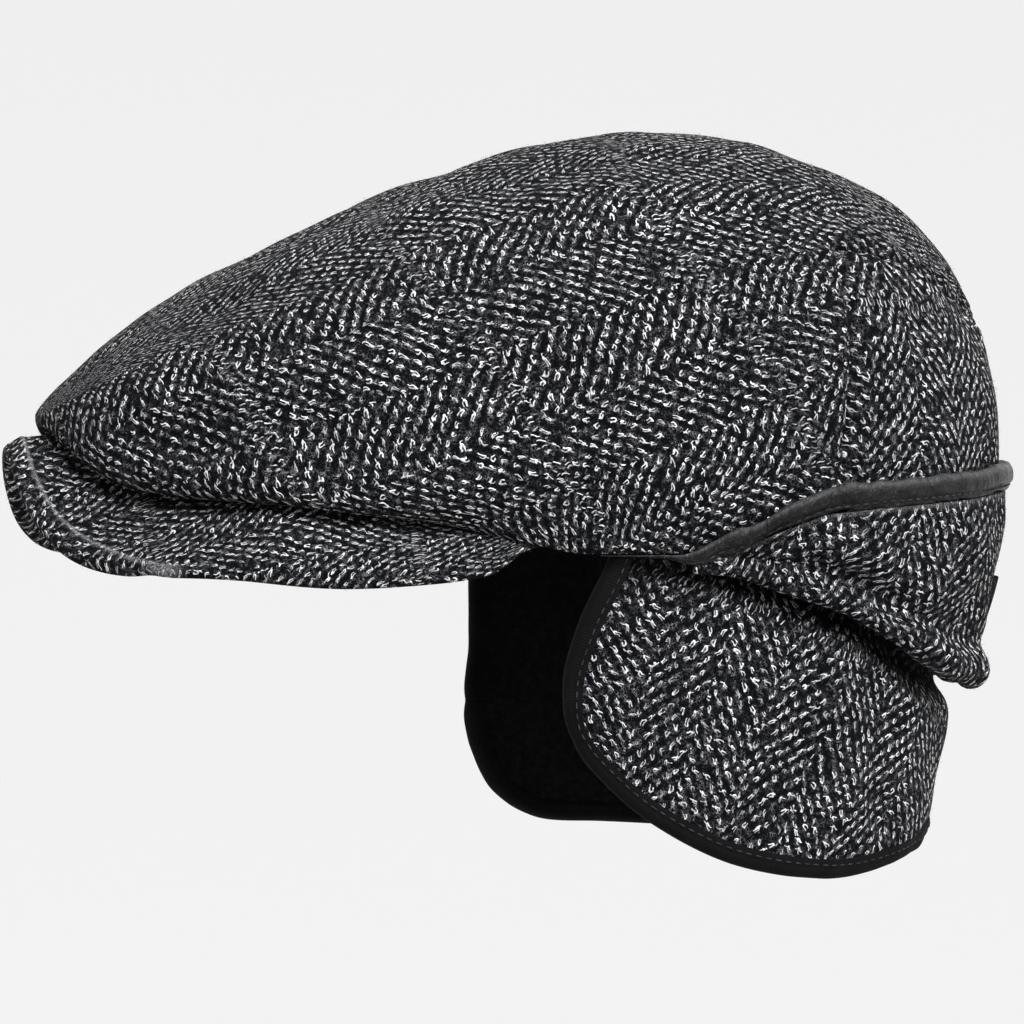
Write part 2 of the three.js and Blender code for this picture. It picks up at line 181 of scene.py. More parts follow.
@dataclass(frozen=True)
class Relief:
    """Smooth unevenness of cloth: a fixed sum of waves through space, in millimetres."""

    wavelength: float
    height: float
    seed: int
    count: int = 16

    def at(self, points: Array) -> Array:
        """The unevenness at points, about as high as height."""
        rng = np.random.default_rng(self.seed)
        directions = unit(rng.normal(size=(self.count, points.shape[-1])))
        lengths = self.wavelength * rng.uniform(0.7, 1.5, self.count)
        phases = rng.uniform(0, 2 * math.pi, self.count)
        total = np.zeros(points.shape[:-1])
        for direction, length, phase in zip(directions, lengths, phases):
            total += np.sin(points @ direction * (2 * math.pi / length) + phase)
        return total * self.height * math.sqrt(2 / self.count)


@dataclass(frozen=True)
class Fold:
    """A long soft dent, or a ridge where depth is negative, along a path seen from the side.

    The path's points are (y, z) in millimetres, and side is +1 on the wearer's left, -1 on the right.
    """

    path: tuple[tuple[float, float], ...]
    depth: float
    width: float
    side: int = 1

    def at(self, points: Array) -> Array:
        """How far each point moves out, in millimetres."""
        path = smooth_curve(self.path, 24)
        distance, along = nearest_on_path(points[..., 1:], path)
        total = float(np.linalg.norm(np.diff(path, axis=0), axis=1).sum())
        fade = smoothstep(along, -0.01, total * 0.2) * smoothstep(total - along, -0.01, total * 0.2)
        mine = smoothstep(points[..., 0] * self.side, 4, 22)
        return -self.depth * np.exp(-((distance / self.width) ** 2)) * fade * mine


def unevenness(points: Array, reliefs: Sequence[Relief], folds: Sequence[Fold]) -> Array:
    """How far reliefs and folds together move each point out, in millimetres."""
    return sum(relief.at(points) for relief in reliefs) + sum(fold.at(points) for fold in folds)


# The cap's form


@dataclass(frozen=True)
class Oval:
    """A plan with a front reach and a back reach. Angle 0 is the front, at -Y."""

    middle: Any
    half: Any
    front: Any
    back: Any
    power: Any

    def point(self, angle: Any) -> tuple[Array, Array]:
        """x and y at an angle."""
        s, c = np.sin(angle), np.cos(angle)
        size = (np.abs(s) ** self.power + np.abs(c) ** self.power) ** (-1 / self.power)
        return self.half * s * size, self.middle - np.where(c > 0, self.front, self.back) * c * size

    def degrees_at(self, y: Any) -> Array:
        """Degrees round from the back at which the plan has a y."""
        share = np.clip((y - self.middle) / np.where(y > self.middle, self.back, self.front), -1, 1)
        across = (1 - np.abs(share) ** self.power) ** (1 / self.power)
        return np.degrees(np.arctan2(across, share))


@dataclass(frozen=True)
class CuffRow:
    """One station of the cuff, by its place along the cap."""

    y: float
    top: float
    foot: float
    swell: float
    roll: float


@dataclass(frozen=True)
class CapForm:
    """The surfaces that every piece of the cap lies on."""

    cloth: float = 2.5
    widest: Oval = Oval(21, 97, 177, 87, 2.25)
    edge: Oval = Oval(12, 86.5, 114, 87, 2.6)
    widest_z: float = 31
    widest_nose: float = 3.5
    widest_back: float = 3
    edge_drop: float = 26
    ridge_y: float = 11
    ridge_z: float = 112
    section_power: float = 2.3
    seam_low: float = 106.5
    seam_corner: float = 111.5
    seam_rise: float = 0.38
    seam_middle: float = 0.15
    peak_front: float = 164
    peak_crest: float = 28.5
    peak_arch: float = 110
    peak_fold: float = 53
    peak_fold_reach: float = 51
    peak_seam: float = 1
    peak_corner: float = -33
    peak_plan: Oval = Oval(-66, 87.5, 98, 80, 2.5)
    flap_top: float = 5
    cuff_gap: float = 0.6
    cuff_cloth: float = 2.2
    cuff_rows: tuple[CuffRow, ...] = (
        CuffRow(6, -1.6, -5.6, 0, 1.7),
        CuffRow(16, -1, -6.4, 0.3, 2.4),
        CuffRow(24, 4.8, -8.6, 0.8, 3.4),
        CuffRow(34, 9.6, -12, 1.6, 4.4),
        CuffRow(48, 11.2, -17.5, 2.6, 5),
        CuffRow(62, 12, -25, 2.8, 5.2),
        CuffRow(79, 13, -34.5, 2.2, 5.2),
        CuffRow(92, 14, -38.5, 1.4, 5.2),
        CuffRow(99, 14.4, -40.5, 0.8, 5.2),
    )

    def peak_height(self, x: Any, y: Any) -> Array:
        """Height of the peak's upper face."""
        back = self.peak_front + y
        crest = self.peak_crest + 0.12 * back - 0.0003 * back**2
        arch = self.peak_arch - np.sqrt(np.maximum(self.peak_arch**2 - x**2, 0))
        fold = self.peak_fold * x**2 / (x**2 + self.peak_fold_reach**2)
        return crest - lerp(fold, arch, smoothstep(back, 12, 80))

    def rest_height(self, x: Any, y: Any) -> Array:
        """Height at which the crown rests on the peak."""
        return self.peak_height(x, y) + self.peak_seam

    def edge_height(self, angle: Any) -> Array:
        """Height of the crown's lower edge."""
        x, y = self.edge.point(angle)
        drop = self.edge_drop * smoothstep(y, 10, self.edge.middle + self.edge.back)
        lift = np.maximum(self.rest_height(x, y), 0)
        return lift * (1 - smoothstep(y, self.peak_corner, self.peak_corner + 14)) - drop

    def widest_height(self, y: Any) -> Array:
        """Height of the crown's widest line."""
        nose = smoothstep(-y, 40, self.widest.front - self.widest.middle)
        back = smoothstep(y, 20, self.widest.middle + self.widest.back)
        return self.widest_z + self.widest_nose * nose - self.widest_back * back

    def ridge_share(self, y: Any) -> Array:
        """Share of the ridge's full height, along the middle of the cap."""
        ahead = y < self.ridge_y
        end = np.where(ahead, self.widest.middle - self.widest.front, self.widest.middle + self.widest.back)
        away = np.clip((y - self.ridge_y) / (end - self.ridge_y), 0, 1)
        return (1 - away ** np.where(ahead, 1.62, 2.2)) ** np.where(ahead, 0.81, 0.4545)

    def half_width(self, y: Any) -> Array:
        """Half the crown's width at its widest line."""
        reach = np.where(y < self.widest.middle, self.widest.front, self.widest.back)
        narrowing = 1 - (np.abs(y - self.widest.middle) / reach) ** self.widest.power
        return self.widest.half * np.maximum(narrowing, 1e-9) ** (1 / self.widest.power)

    def roof(self, x: Any, y: Any) -> Array:
        """Height of the crown above its widest line."""
        across = np.clip(np.abs(x) / self.half_width(y), 0, 1)
        section = (1 - across**self.section_power) ** (1 / self.section_power)
        base = self.widest_height(y)
        return base + (self.ridge_z - base) * self.ridge_share(y) * section

    def crown(self, angle: Any, rise: Any) -> Array:
        """The crown's outer face: rise is -1 at the edge, 0 at the widest line and 1 at the top."""
        angle, rise = np.broadcast_arrays(np.asarray(angle, float), np.asarray(rise, float))
        plan_x, plan_y = self.widest.point(angle)
        share = np.cos(np.clip(rise, 0, 1) * math.pi / 2) ** 0.9
        x_up, y_up = plan_x * share, lerp(self.ridge_y, plan_y, share)
        above = np.stack([x_up, y_up, self.roof(x_up, y_up)], -1)
        edge_x, edge_y = self.edge.point(angle)
        up = np.clip(1 + rise, 0, 1)
        out = np.sin(up * math.pi / 2)
        x, y = lerp(edge_x, plan_x, out), lerp(edge_y, plan_y, out)
        top = self.widest_height(plan_y)
        wall = lerp(self.edge_height(angle), top, up)
        rest = lerp(self.rest_height(x, y), top, 1 - np.sqrt(1 - up**2.6))
        on_peak = 1 - smoothstep(edge_y, self.peak_corner - 50, self.peak_corner + 12)
        below = np.stack([x, y, lerp(wall, rest, on_peak)], -1)
        return np.where(rise[..., None] >= 0, above, below)

    def seam_angle(self, rise: Any) -> Array:
        """Angle of the seam between the top panel and the back panel."""
        share = np.clip(rise / self.seam_rise, 0, 1)
        return np.radians(lerp(self.seam_low, self.seam_corner, share))

    def flap_plan(self, z: Any) -> Oval:
        """Plan of the earflap band at a height."""
        down = np.clip((self.flap_top - z) / 55, 0, 1)
        draw = np.clip((-42 - z) / 46, 0, 1) ** 2
        return Oval(
            12,
            lerp(83.4, 81, down) - 1.5 * draw,
            lerp(110.9, 78, down),
            lerp(83.9, 84.4, down) - 9 * draw,
            lerp(2.6, 2.2, down),
        )

    def flap(self, degrees: Any, z: Any) -> Array:
        """The band's outer face: degrees round from the back, positive on the wearer's left, and height."""
        degrees, z = np.broadcast_arrays(np.asarray(degrees, float), np.asarray(z, float))
        x, y = self.flap_plan(z).point(math.pi - np.radians(degrees))
        return np.stack([x, y, z], -1)

    def flap_normal(self, degrees: Any, z: Any) -> Array:
        """Outward normals of the band."""
        around = self.flap(degrees + 0.5, z) - self.flap(degrees - 0.5, z)
        return unit(np.cross(self.flap(degrees, z + 0.5) - self.flap(degrees, z - 0.5), around))

    def beside(self, degrees: Any, z: Any, out: Any) -> Array:
        """Points beside the crown's wall: degrees round from the back, height and distance out."""
        degrees, z, out = np.broadcast_arrays(*(np.asarray(v, float) for v in (degrees, z, out)))
        angle = math.pi - np.radians(degrees)
        low = self.edge_height(angle)
        up = np.clip((z - low) / (self.widest_height(self.widest.point(angle)[1]) - low), 0, 1) - 1
        here = self.crown(angle, up)
        around = self.crown(angle + 0.01, up) - self.crown(angle - 0.01, up)
        around[..., 2] = 0
        around = unit(around)
        return np.stack([here[..., 0] + around[..., 1] * out, here[..., 1] - around[..., 0] * out, z], -1)

    def cuff_value(self, degrees: Any, name: str) -> Array:
        """One of the cuff's values at degrees round from the back."""
        rows = sorted((float(self.edge.degrees_at(row.y)), getattr(row, name)) for row in self.cuff_rows)
        at, values = zip(*rows)
        return np.interp(np.abs(degrees), at, values)

    @property
    def cuff_tip(self) -> float:
        """Degrees round from the back of the cuff's front tip."""
        return float(self.edge.degrees_at(self.cuff_rows[0].y))


@dataclass(frozen=True)
class FlapOutline:
    """The free edge of the earflap band, from the left front corner, under the back, to the right one."""

    form: CapForm
    left: tuple[tuple[float, float], ...] = (
        (-13, 5), (-16, -4), (-22.5, -18), (-26.5, -36), (-23.5, -50), (-15.5, -61),
        (-3, -71.5), (20, -83), (50, -88), (70, -85.5), (83, -83),
    )
    right: tuple[tuple[float, float], ...] = (
        (-20, 5), (-22, -6), (-23.5, -20), (-24, -36), (-25.5, -50), (-23.5, -64),
        (-17, -76.5), (-4, -85), (18, -87), (55, -88), (80, -84),
    )
    back_z: float = -82

    def knots(self) -> Array:
        """The outline's knots as degrees and heights."""
        left = [(float(self.form.flap_plan(z).degrees_at(y)), z) for y, z in self.left]
        right = [(-float(self.form.flap_plan(z).degrees_at(y)), z) for y, z in self.right]
        return np.array([*left, (0, self.back_z), *reversed(right)])

    def points(self, count: int) -> Array:
        """Points on the outline, evenly spaced along the cloth.

        Args:
            count: how many.

        Returns:
            Degrees and heights.
        """
        knots = self.knots()
        n = len(knots)
        ext = np.vstack([2 * knots[0] - knots[1], knots, 2 * knots[-1] - knots[-2]])
        rows = []
        for i in range(n - 1):
            p = ext[i : i + 4]
            d = np.maximum(np.sqrt(np.linalg.norm(np.diff(p, axis=0), axis=1)), 1e-6)
            k = np.concatenate([[0], np.cumsum(d)])
            t = np.linspace(k[1], k[2], 40, endpoint=False)[:, None]
            a = [between(p[j], p[j + 1], k[j], k[j + 1], t) for j in range(3)]
            b = [between(a[j], a[j + 1], k[j], k[j + 2], t) for j in range(2)]
            rows.append(between(b[0], b[1], k[1], k[2], t))
        dense = np.vstack([*rows, knots[-1][None]])
        solid = self.form.flap(dense[:, 0], dense[:, 1])
        run = lengths_along(solid)
        at = np.linspace(0, run[-1], count)
        return np.stack([np.interp(at, run, dense[:, k]) for k in range(2)], 1)

    def inset(self, outline: Array, distance: Any) -> Array:
        """Moves outline points in from the edge, along the cloth.

        Args:
            outline: degrees and heights from points().
            distance: millimetres, one or as many as points.

        Returns:
            Degrees and heights.
        """
        degrees, z = outline[:, 0], outline[:, 1]
        tangent = unit(np.gradient(self.form.flap(degrees, z), axis=0))
        inward = np.cross(self.form.flap_normal(degrees, z), tangent)
        per_degree = self.form.flap(degrees + 0.5, z) - self.form.flap(degrees - 0.5, z)
        turn = (inward * per_degree).sum(1) / (per_degree**2).sum(1)
        return np.stack([degrees + turn * distance, z + inward[:, 2] * distance], 1)


# Meshes


def linked(name: str, data: bpy.types.ID) -> bpy.types.Object:
    """Makes an object of a mesh, a camera or a light, and links it to the scene."""
    made = bpy.data.objects.new(name, data)
    bpy.context.scene.collection.objects.link(made)
    return made


class Face(Enum):
    """Which material slot a face of a wall takes. The rims take the inner one."""

    OUTER = 0
    INNER = 1


@dataclass
class Wall:
    """A cloth wall between an outer grid of points and the same grid moved in by its thickness.

    keep holds, for each square of the grid, whether it is there. weave holds the cloth's own flat
    millimetres. round_first and round_last round off the edges of the first and the last row.
    """

    points: Array
    weave: Array
    thickness: float | Array
    around: bool = False
    pole: bool = False
    keep: Array | None = None
    round_first: bool = False
    round_last: bool = False
    marks: dict[str, Array] = field(default_factory=dict)

    def _rounded(self, grid: Array, normals: Array, first: bool) -> Array:
        """A row of points that rounds off one edge of a grid."""
        edge, beside = (grid[0], grid[1]) if first else (grid[-1], grid[-2])
        normal = normals[0] if first else normals[-1]
        thick = np.broadcast_to(self.thickness, len(edge))[:, None]
        return edge + unit(edge - beside) * thick * 0.28 - normal * thick * 0.2

    def _inner_weave(self, pad: tuple[int, int]) -> tuple[Array, Array]:
        """Flat coordinates of both faces, where the cloth goes on round a rounded first edge."""
        outer = np.pad(self.weave, (pad, (0, 0), (0, 0)), mode="edge")
        if not self.round_first:
            return outer, outer.copy()
        thick = np.broadcast_to(self.thickness, self.weave.shape[1])[:, None]
        edge = self.weave[0]
        onward = unit(edge - self.weave[1]) * thick
        inner = 2 * edge[None] - outer + (onward * 1.15)[None]
        outer[0] = edge + onward * 0.35
        inner[0] = edge + onward * 0.8
        return outer, inner

    def build(self, name: str, materials: Sequence[bpy.types.Material]) -> bpy.types.Object:
        """Makes the wall's mesh object.

        Args:
            name: the piece's name.
            materials: the outer face's material, and the inner face's where it differs.

        Returns:
            A closed mesh object at the origin.
        """
        normals = surface_normals(self.points, self.around)
        if self.pole:
            normals[-1] = unit(normals[-2].mean(axis=0))
        inner = self.points - normals * np.broadcast_to(self.thickness, normals.shape[:2])[..., None]
        grids = []
        for grid, way in ((self.points, normals), (inner, -normals)):
            rows = [grid]
            if self.round_first:
                rows.insert(0, self._rounded(grid, way, True)[None])
            if self.round_last:
                rows.append(self._rounded(grid, way, False)[None])
            grids.append(np.concatenate(rows))
        pad = (int(self.round_first), int(self.round_last))
        outer_weave, inner_weave = self._inner_weave(pad)
        rows, columns = grids[0].shape[:2]
        squares = columns if self.around else columns - 1
        keep = np.ones((rows - 1, squares), bool)
        if self.keep is not None:
            keep = np.pad(self.keep, (pad, (0, 0)), mode="edge")
        index = np.arange(rows * columns).reshape(rows, columns)
        if self.pole:
            index[-1] = index[-1, 0]
        right = np.roll(index, -1, axis=1)[:, :squares]
        left = index[:, :squares]
        a, b, c, d = left[:-1], right[:-1], right[1:], left[1:]
        far = rows * columns
        outer = np.stack([a, b, c, d], -1)[keep]
        inner_faces = np.stack([a, d, c, b], -1)[keep] + far
        rims = []
        held = np.pad(keep, 1)
        if self.around:
            held[:, 0], held[:, -1] = held[:, -2], held[:, 1]
        for mask, start, end in (
            (keep & ~held[:-2, 1:-1], a, b),
            (keep & ~held[2:, 1:-1], c, d),
            (keep & ~held[1:-1, :-2], d, a),
            (keep & ~held[1:-1, 2:], b, c),
        ):
            if self.pole:
                mask = mask & (start != end)
            rims.append(np.stack([start, start + far, end + far, end], -1)[mask])
        faces = np.concatenate([outer, inner_faces, *rims])
        slots = np.full(len(faces), Face.INNER.value)
        slots[: len(outer)] = Face.OUTER.value
        points = np.concatenate([grids[0].reshape(-1, 3), grids[1].reshape(-1, 3)])
        flat = np.concatenate([outer_weave.reshape(-1, 2), inner_weave.reshape(-1, 2)])
        marks = {
            key: np.concatenate([np.pad(values, (pad, (0, 0)), mode="edge").ravel()] * 2)
            for key, values in self.marks.items()
        }
        return mesh_object(name, points, faces, flat, slots if len(materials) > 1 else None, materials, marks)


def tube(loops: Array, weave: Array) -> tuple[Array, Array, Array]:
    """Joins closed loops of points into a tube with closed ends.

    Args:
        loops: stations by points by 3, turning so that the faces point out.
        weave: stations by points by 2.

    Returns:
        Points, faces as rows of 4 or 3 corners padded with -1, and flat coordinates.
    """
    stations, size = loops.shape[:2]
    index = np.arange(stations * size).reshape(stations, size)
    a, b = index[:-1], np.roll(index, -1, axis=1)[:-1]
    c, d = np.roll(index, -1, axis=1)[1:], index[1:]
    faces = np.stack([a, b, c, d], -1).reshape(-1, 4)
    points = np.concatenate([loops.reshape(-1, 3), loops[0].mean(0)[None], loops[-1].mean(0)[None]])
    flat = np.concatenate([weave.reshape(-1, 2), weave[0].mean(0)[None], weave[-1].mean(0)[None]])
    start, end = stations * size, stations * size + 1
    caps = [[start, index[0, (j + 1) % size], index[0, j], -1] for j in range(size)]
    caps += [[end, index[-1, j], index[-1, (j + 1) % size], -1] for j in range(size)]
    return points, np.concatenate([faces, np.array(caps)]), flat


def mesh_object(
    name: str,
    points: Array,
    faces: Array,
    weave: Array | None,
    slots: Array | None,
    materials: Sequence[bpy.types.Material],
    marks: dict[str, Array] | None = None,
) -> bpy.types.Object:
    """Makes a mesh object from points in millimetres.

    Args:
        name: the piece's name.
        points: its points.
        faces: its faces, a row of corners each, with -1 for a corner that isn't there.
        weave: flat coordinates in millimetres, one for each point.
        slots: material slots, one for each face.
        materials: its materials.
        marks: named values, one for each point.

    Returns:
        The linked object, with outward faces and smooth shading.
    """
    mesh = bpy.data.meshes.new(name)
    mesh.from_pydata((points * MM).tolist(), [], [[v for v in face if v >= 0] for face in faces.tolist()])
    for material in materials:
        mesh.materials.append(material)
    if slots is not None:
        mesh.polygons.foreach_set("material_index", slots.astype(np.int32))
    if weave is not None:
        corners = np.zeros(len(mesh.loops), np.int32)
        mesh.loops.foreach_get("vertex_index", corners)
        layer = mesh.uv_layers.new(name="weave")
        layer.data.foreach_set("uv", (weave[corners] * WEAVE_SCALE).astype(np.float32).ravel())
    for key, values in (marks or {}).items():
        mesh.attributes.new(key, "FLOAT", "POINT").data.foreach_set("value", values.astype(np.float32))
    worked = bmesh.new()
    worked.from_mesh(mesh)
    bmesh.ops.remove_doubles(worked, verts=worked.verts, dist=1e-7)
    loose = [v for v in worked.verts if not v.link_faces]
    bmesh.ops.delete(worked, geom=loose, context="VERTS")
    if worked.calc_volume(signed=True) < 0:
        bmesh.ops.reverse_faces(worked, faces=worked.faces)
    worked.to_mesh(mesh)
    worked.free()
    mesh.shade_smooth()
    mesh.set_sharp_from_angle(angle=math.radians(60))
    return linked(name, mesh)


# Shader and geometry graphs


class Value:
    """A node's socket that takes part in Python arithmetic."""

    def __init__(self, graph: "Graph", socket: bpy.types.NodeSocket) -> None:
        """Wraps an output socket of a graph."""
        self.graph = graph
        self.socket = socket

    def _with(self, operation: str, *others: Any) -> "Value":
        """The result of a Math node on this value and others."""
        return self.graph.maths(operation, self, *others)

    def __add__(self, other: Any) -> "Value":
        """Sum."""
        return self._with("ADD", other)

    def __sub__(self, other: Any) -> "Value":
        """Difference."""
        return self._with("SUBTRACT", other)

    def __rsub__(self, other: Any) -> "Value":
        """Difference from a number."""
        return self.graph.maths("SUBTRACT", other, self)

    def __mul__(self, other: Any) -> "Value":
        """Product."""
        return self._with("MULTIPLY", other)

    def __truediv__(self, other: Any) -> "Value":
        """Quotient."""
        return self._with("DIVIDE", other)

    def __pow__(self, other: Any) -> "Value":
        """Power."""
        return self._with("POWER", other)

    def __abs__(self) -> "Value":
        """Size without its sign."""
        return self._with("ABSOLUTE")

    def __gt__(self, other: Any) -> "Value":
        """1 where this is greater, or else 0."""
        return self._with("GREATER_THAN", other)


class Graph:
    """Builds one node tree."""

    def __init__(self, tree: bpy.types.NodeTree) -> None:
        """Takes the tree to build."""
        self.tree = tree

    def node(self, kind: str, settings: dict[str, Any] | None = None, **inputs: Any) -> bpy.types.Node:
        """Adds a node.

        Args:
            kind: the node's type.
            settings: its properties, set first.
            inputs: values or links for its sockets, as in fill().

        Returns:
            The node.
        """
        made = self.tree.nodes.new(kind)
        for key, value in (settings or {}).items():
            setattr(made, key, value)
        self.fill(made, **inputs)
        return made

    def fill(self, node: bpy.types.Node, **inputs: Any) -> None:
        """Sets or links a node's inputs.

        Args:
            node: the node.
            inputs: values or links for its sockets, by name with _ for a blank, or i0, i1 by number.
        """
        for key, value in inputs.items():
            by_number = key[0] == "i" and key[1:].isdigit()
            self.put(node.inputs[int(key[1:]) if by_number else key.replace("_", " ")], value)

    def put(self, socket: bpy.types.NodeSocket, value: Any) -> None:
        """Links or sets one input socket."""
        if isinstance(value, Value):
            self.tree.links.new(value.socket, socket)
        elif isinstance(value, bpy.types.NodeSocket):
            self.tree.links.new(value, socket)
        else:
            socket.default_value = value

    def maths(self, operation: str, *values: Any) -> Value:
        """A Math node on up to three values."""
        return self._operated("ShaderNodeMath", operation, values)

    def vector(self, operation: str, *values: Any) -> Value:
        """A Vector Math node on vectors."""
        return self._operated("ShaderNodeVectorMath", operation, values)

    def _operated(self, kind: str, operation: str, values: Sequence[Any]) -> Value:
        """The result of a node that does an operation on its first inputs."""
        inputs = {f"i{i}": value for i, value in enumerate(values)}
        return Value(self, self.node(kind, {"operation": operation}, **inputs).outputs[0])

    def mark(self, name: str) -> Value:
        """A named value that the mesh holds at its points."""
        return Value(self, self.node("ShaderNodeAttribute", {"attribute_name": name}).outputs["Fac"])

    def scaled(self, vector: Value, factor: Any) -> Value:
        """A vector times a number."""
        made = self.node("ShaderNodeVectorMath", {"operation": "SCALE"}, Vector=vector, Scale=factor)
        return Value(self, made.outputs[0])

    def combine(self, x: Any, y: Any, z: Any = 0.0) -> Value:
        """A vector from three numbers."""
        return Value(self, self.node("ShaderNodeCombineXYZ", X=x, Y=y, Z=z).outputs[0])

    def parts(self, vector: Value) -> list[Value]:
        """A vector's three numbers."""
        made = self.node("ShaderNodeSeparateXYZ", Vector=vector)
        return [Value(self, out) for out in made.outputs]

    def colour(self, factor: Any, start: Any, end: Any) -> Value:
        """Mixes two colours by a factor."""
        made = self.node("ShaderNodeMix", {"data_type": "RGBA"}, i0=factor, i6=start, i7=end)
        return Value(self, made.outputs[2])

    def ease(self, value: Value, low: float, high: float) -> Value:
        """Eases from 0 at low to 1 at high."""
        made = self.node(
            "ShaderNodeMapRange",
            {"interpolation_type": "SMOOTHSTEP"},
            Value=value, From_Min=low, From_Max=high, To_Min=0.0, To_Max=1.0,
        )
        return Value(self, made.outputs[0])

    def noise(
        self, place: Value, scale: float, detail: float = 2.0, rough: float = 0.5
    ) -> tuple[Value, Value]:
        """Soft noise at a place, as a number and as a colour."""
        made = self.node(
            "ShaderNodeTexNoise", {"noise_dimensions": "3D"},
            Vector=place, Scale=scale, Detail=detail, Roughness=rough,
        )
        return Value(self, made.outputs[0]), Value(self, made.outputs[1])

    def hashed(self, place: Value, seed: float) -> list[Value]:
        """Three random numbers from 0 to 1 for each whole-numbered place."""
        made = self.node("ShaderNodeTexWhiteNoise", {"noise_dimensions": "4D"}, Vector=place, W=seed)
        return self.parts(Value(self, made.outputs["Color"]))


class Finish:
    """What every material of the cap shares."""

    name: str = "finish"

    def start(self) -> tuple[bpy.types.Material, Graph, bpy.types.Node]:
        """A new material, its graph and its surface shader."""
        material = bpy.data.materials.new(self.name)
        material.use_nodes = True
        material.node_tree.nodes.clear()
        graph = Graph(material.node_tree)
        shader = graph.node("ShaderNodeBsdfPrincipled")
        graph.node("ShaderNodeOutputMaterial", Surface=shader.outputs[0])
        return material, graph, shader

    @staticmethod
    def bump(graph: Graph, shader: bpy.types.Node, height: Value, strength: float, depth: float) -> None:
        """Gives a surface the relief of a height, at a strength and a depth in millimetres."""
        made = graph.node("ShaderNodeBump", Strength=strength, Distance=depth * MM, Height=height)
        graph.fill(shader, Normal=made.outputs[0])

    @staticmethod
    def own_place(graph: Graph) -> Value:
        """The place in the object, in millimetres."""
        made = graph.node("ShaderNodeTexCoord")
        return graph.scaled(Value(graph, made.outputs["Object"]), 1000.0)

    @staticmethod
    def cloth_place(graph: Graph) -> Value:
        """The place on the flat cloth, in millimetres."""
        made = graph.node("ShaderNodeUVMap", {"uv_map": "weave"})
        return graph.scaled(Value(graph, made.outputs[0]), 1 / WEAVE_SCALE)


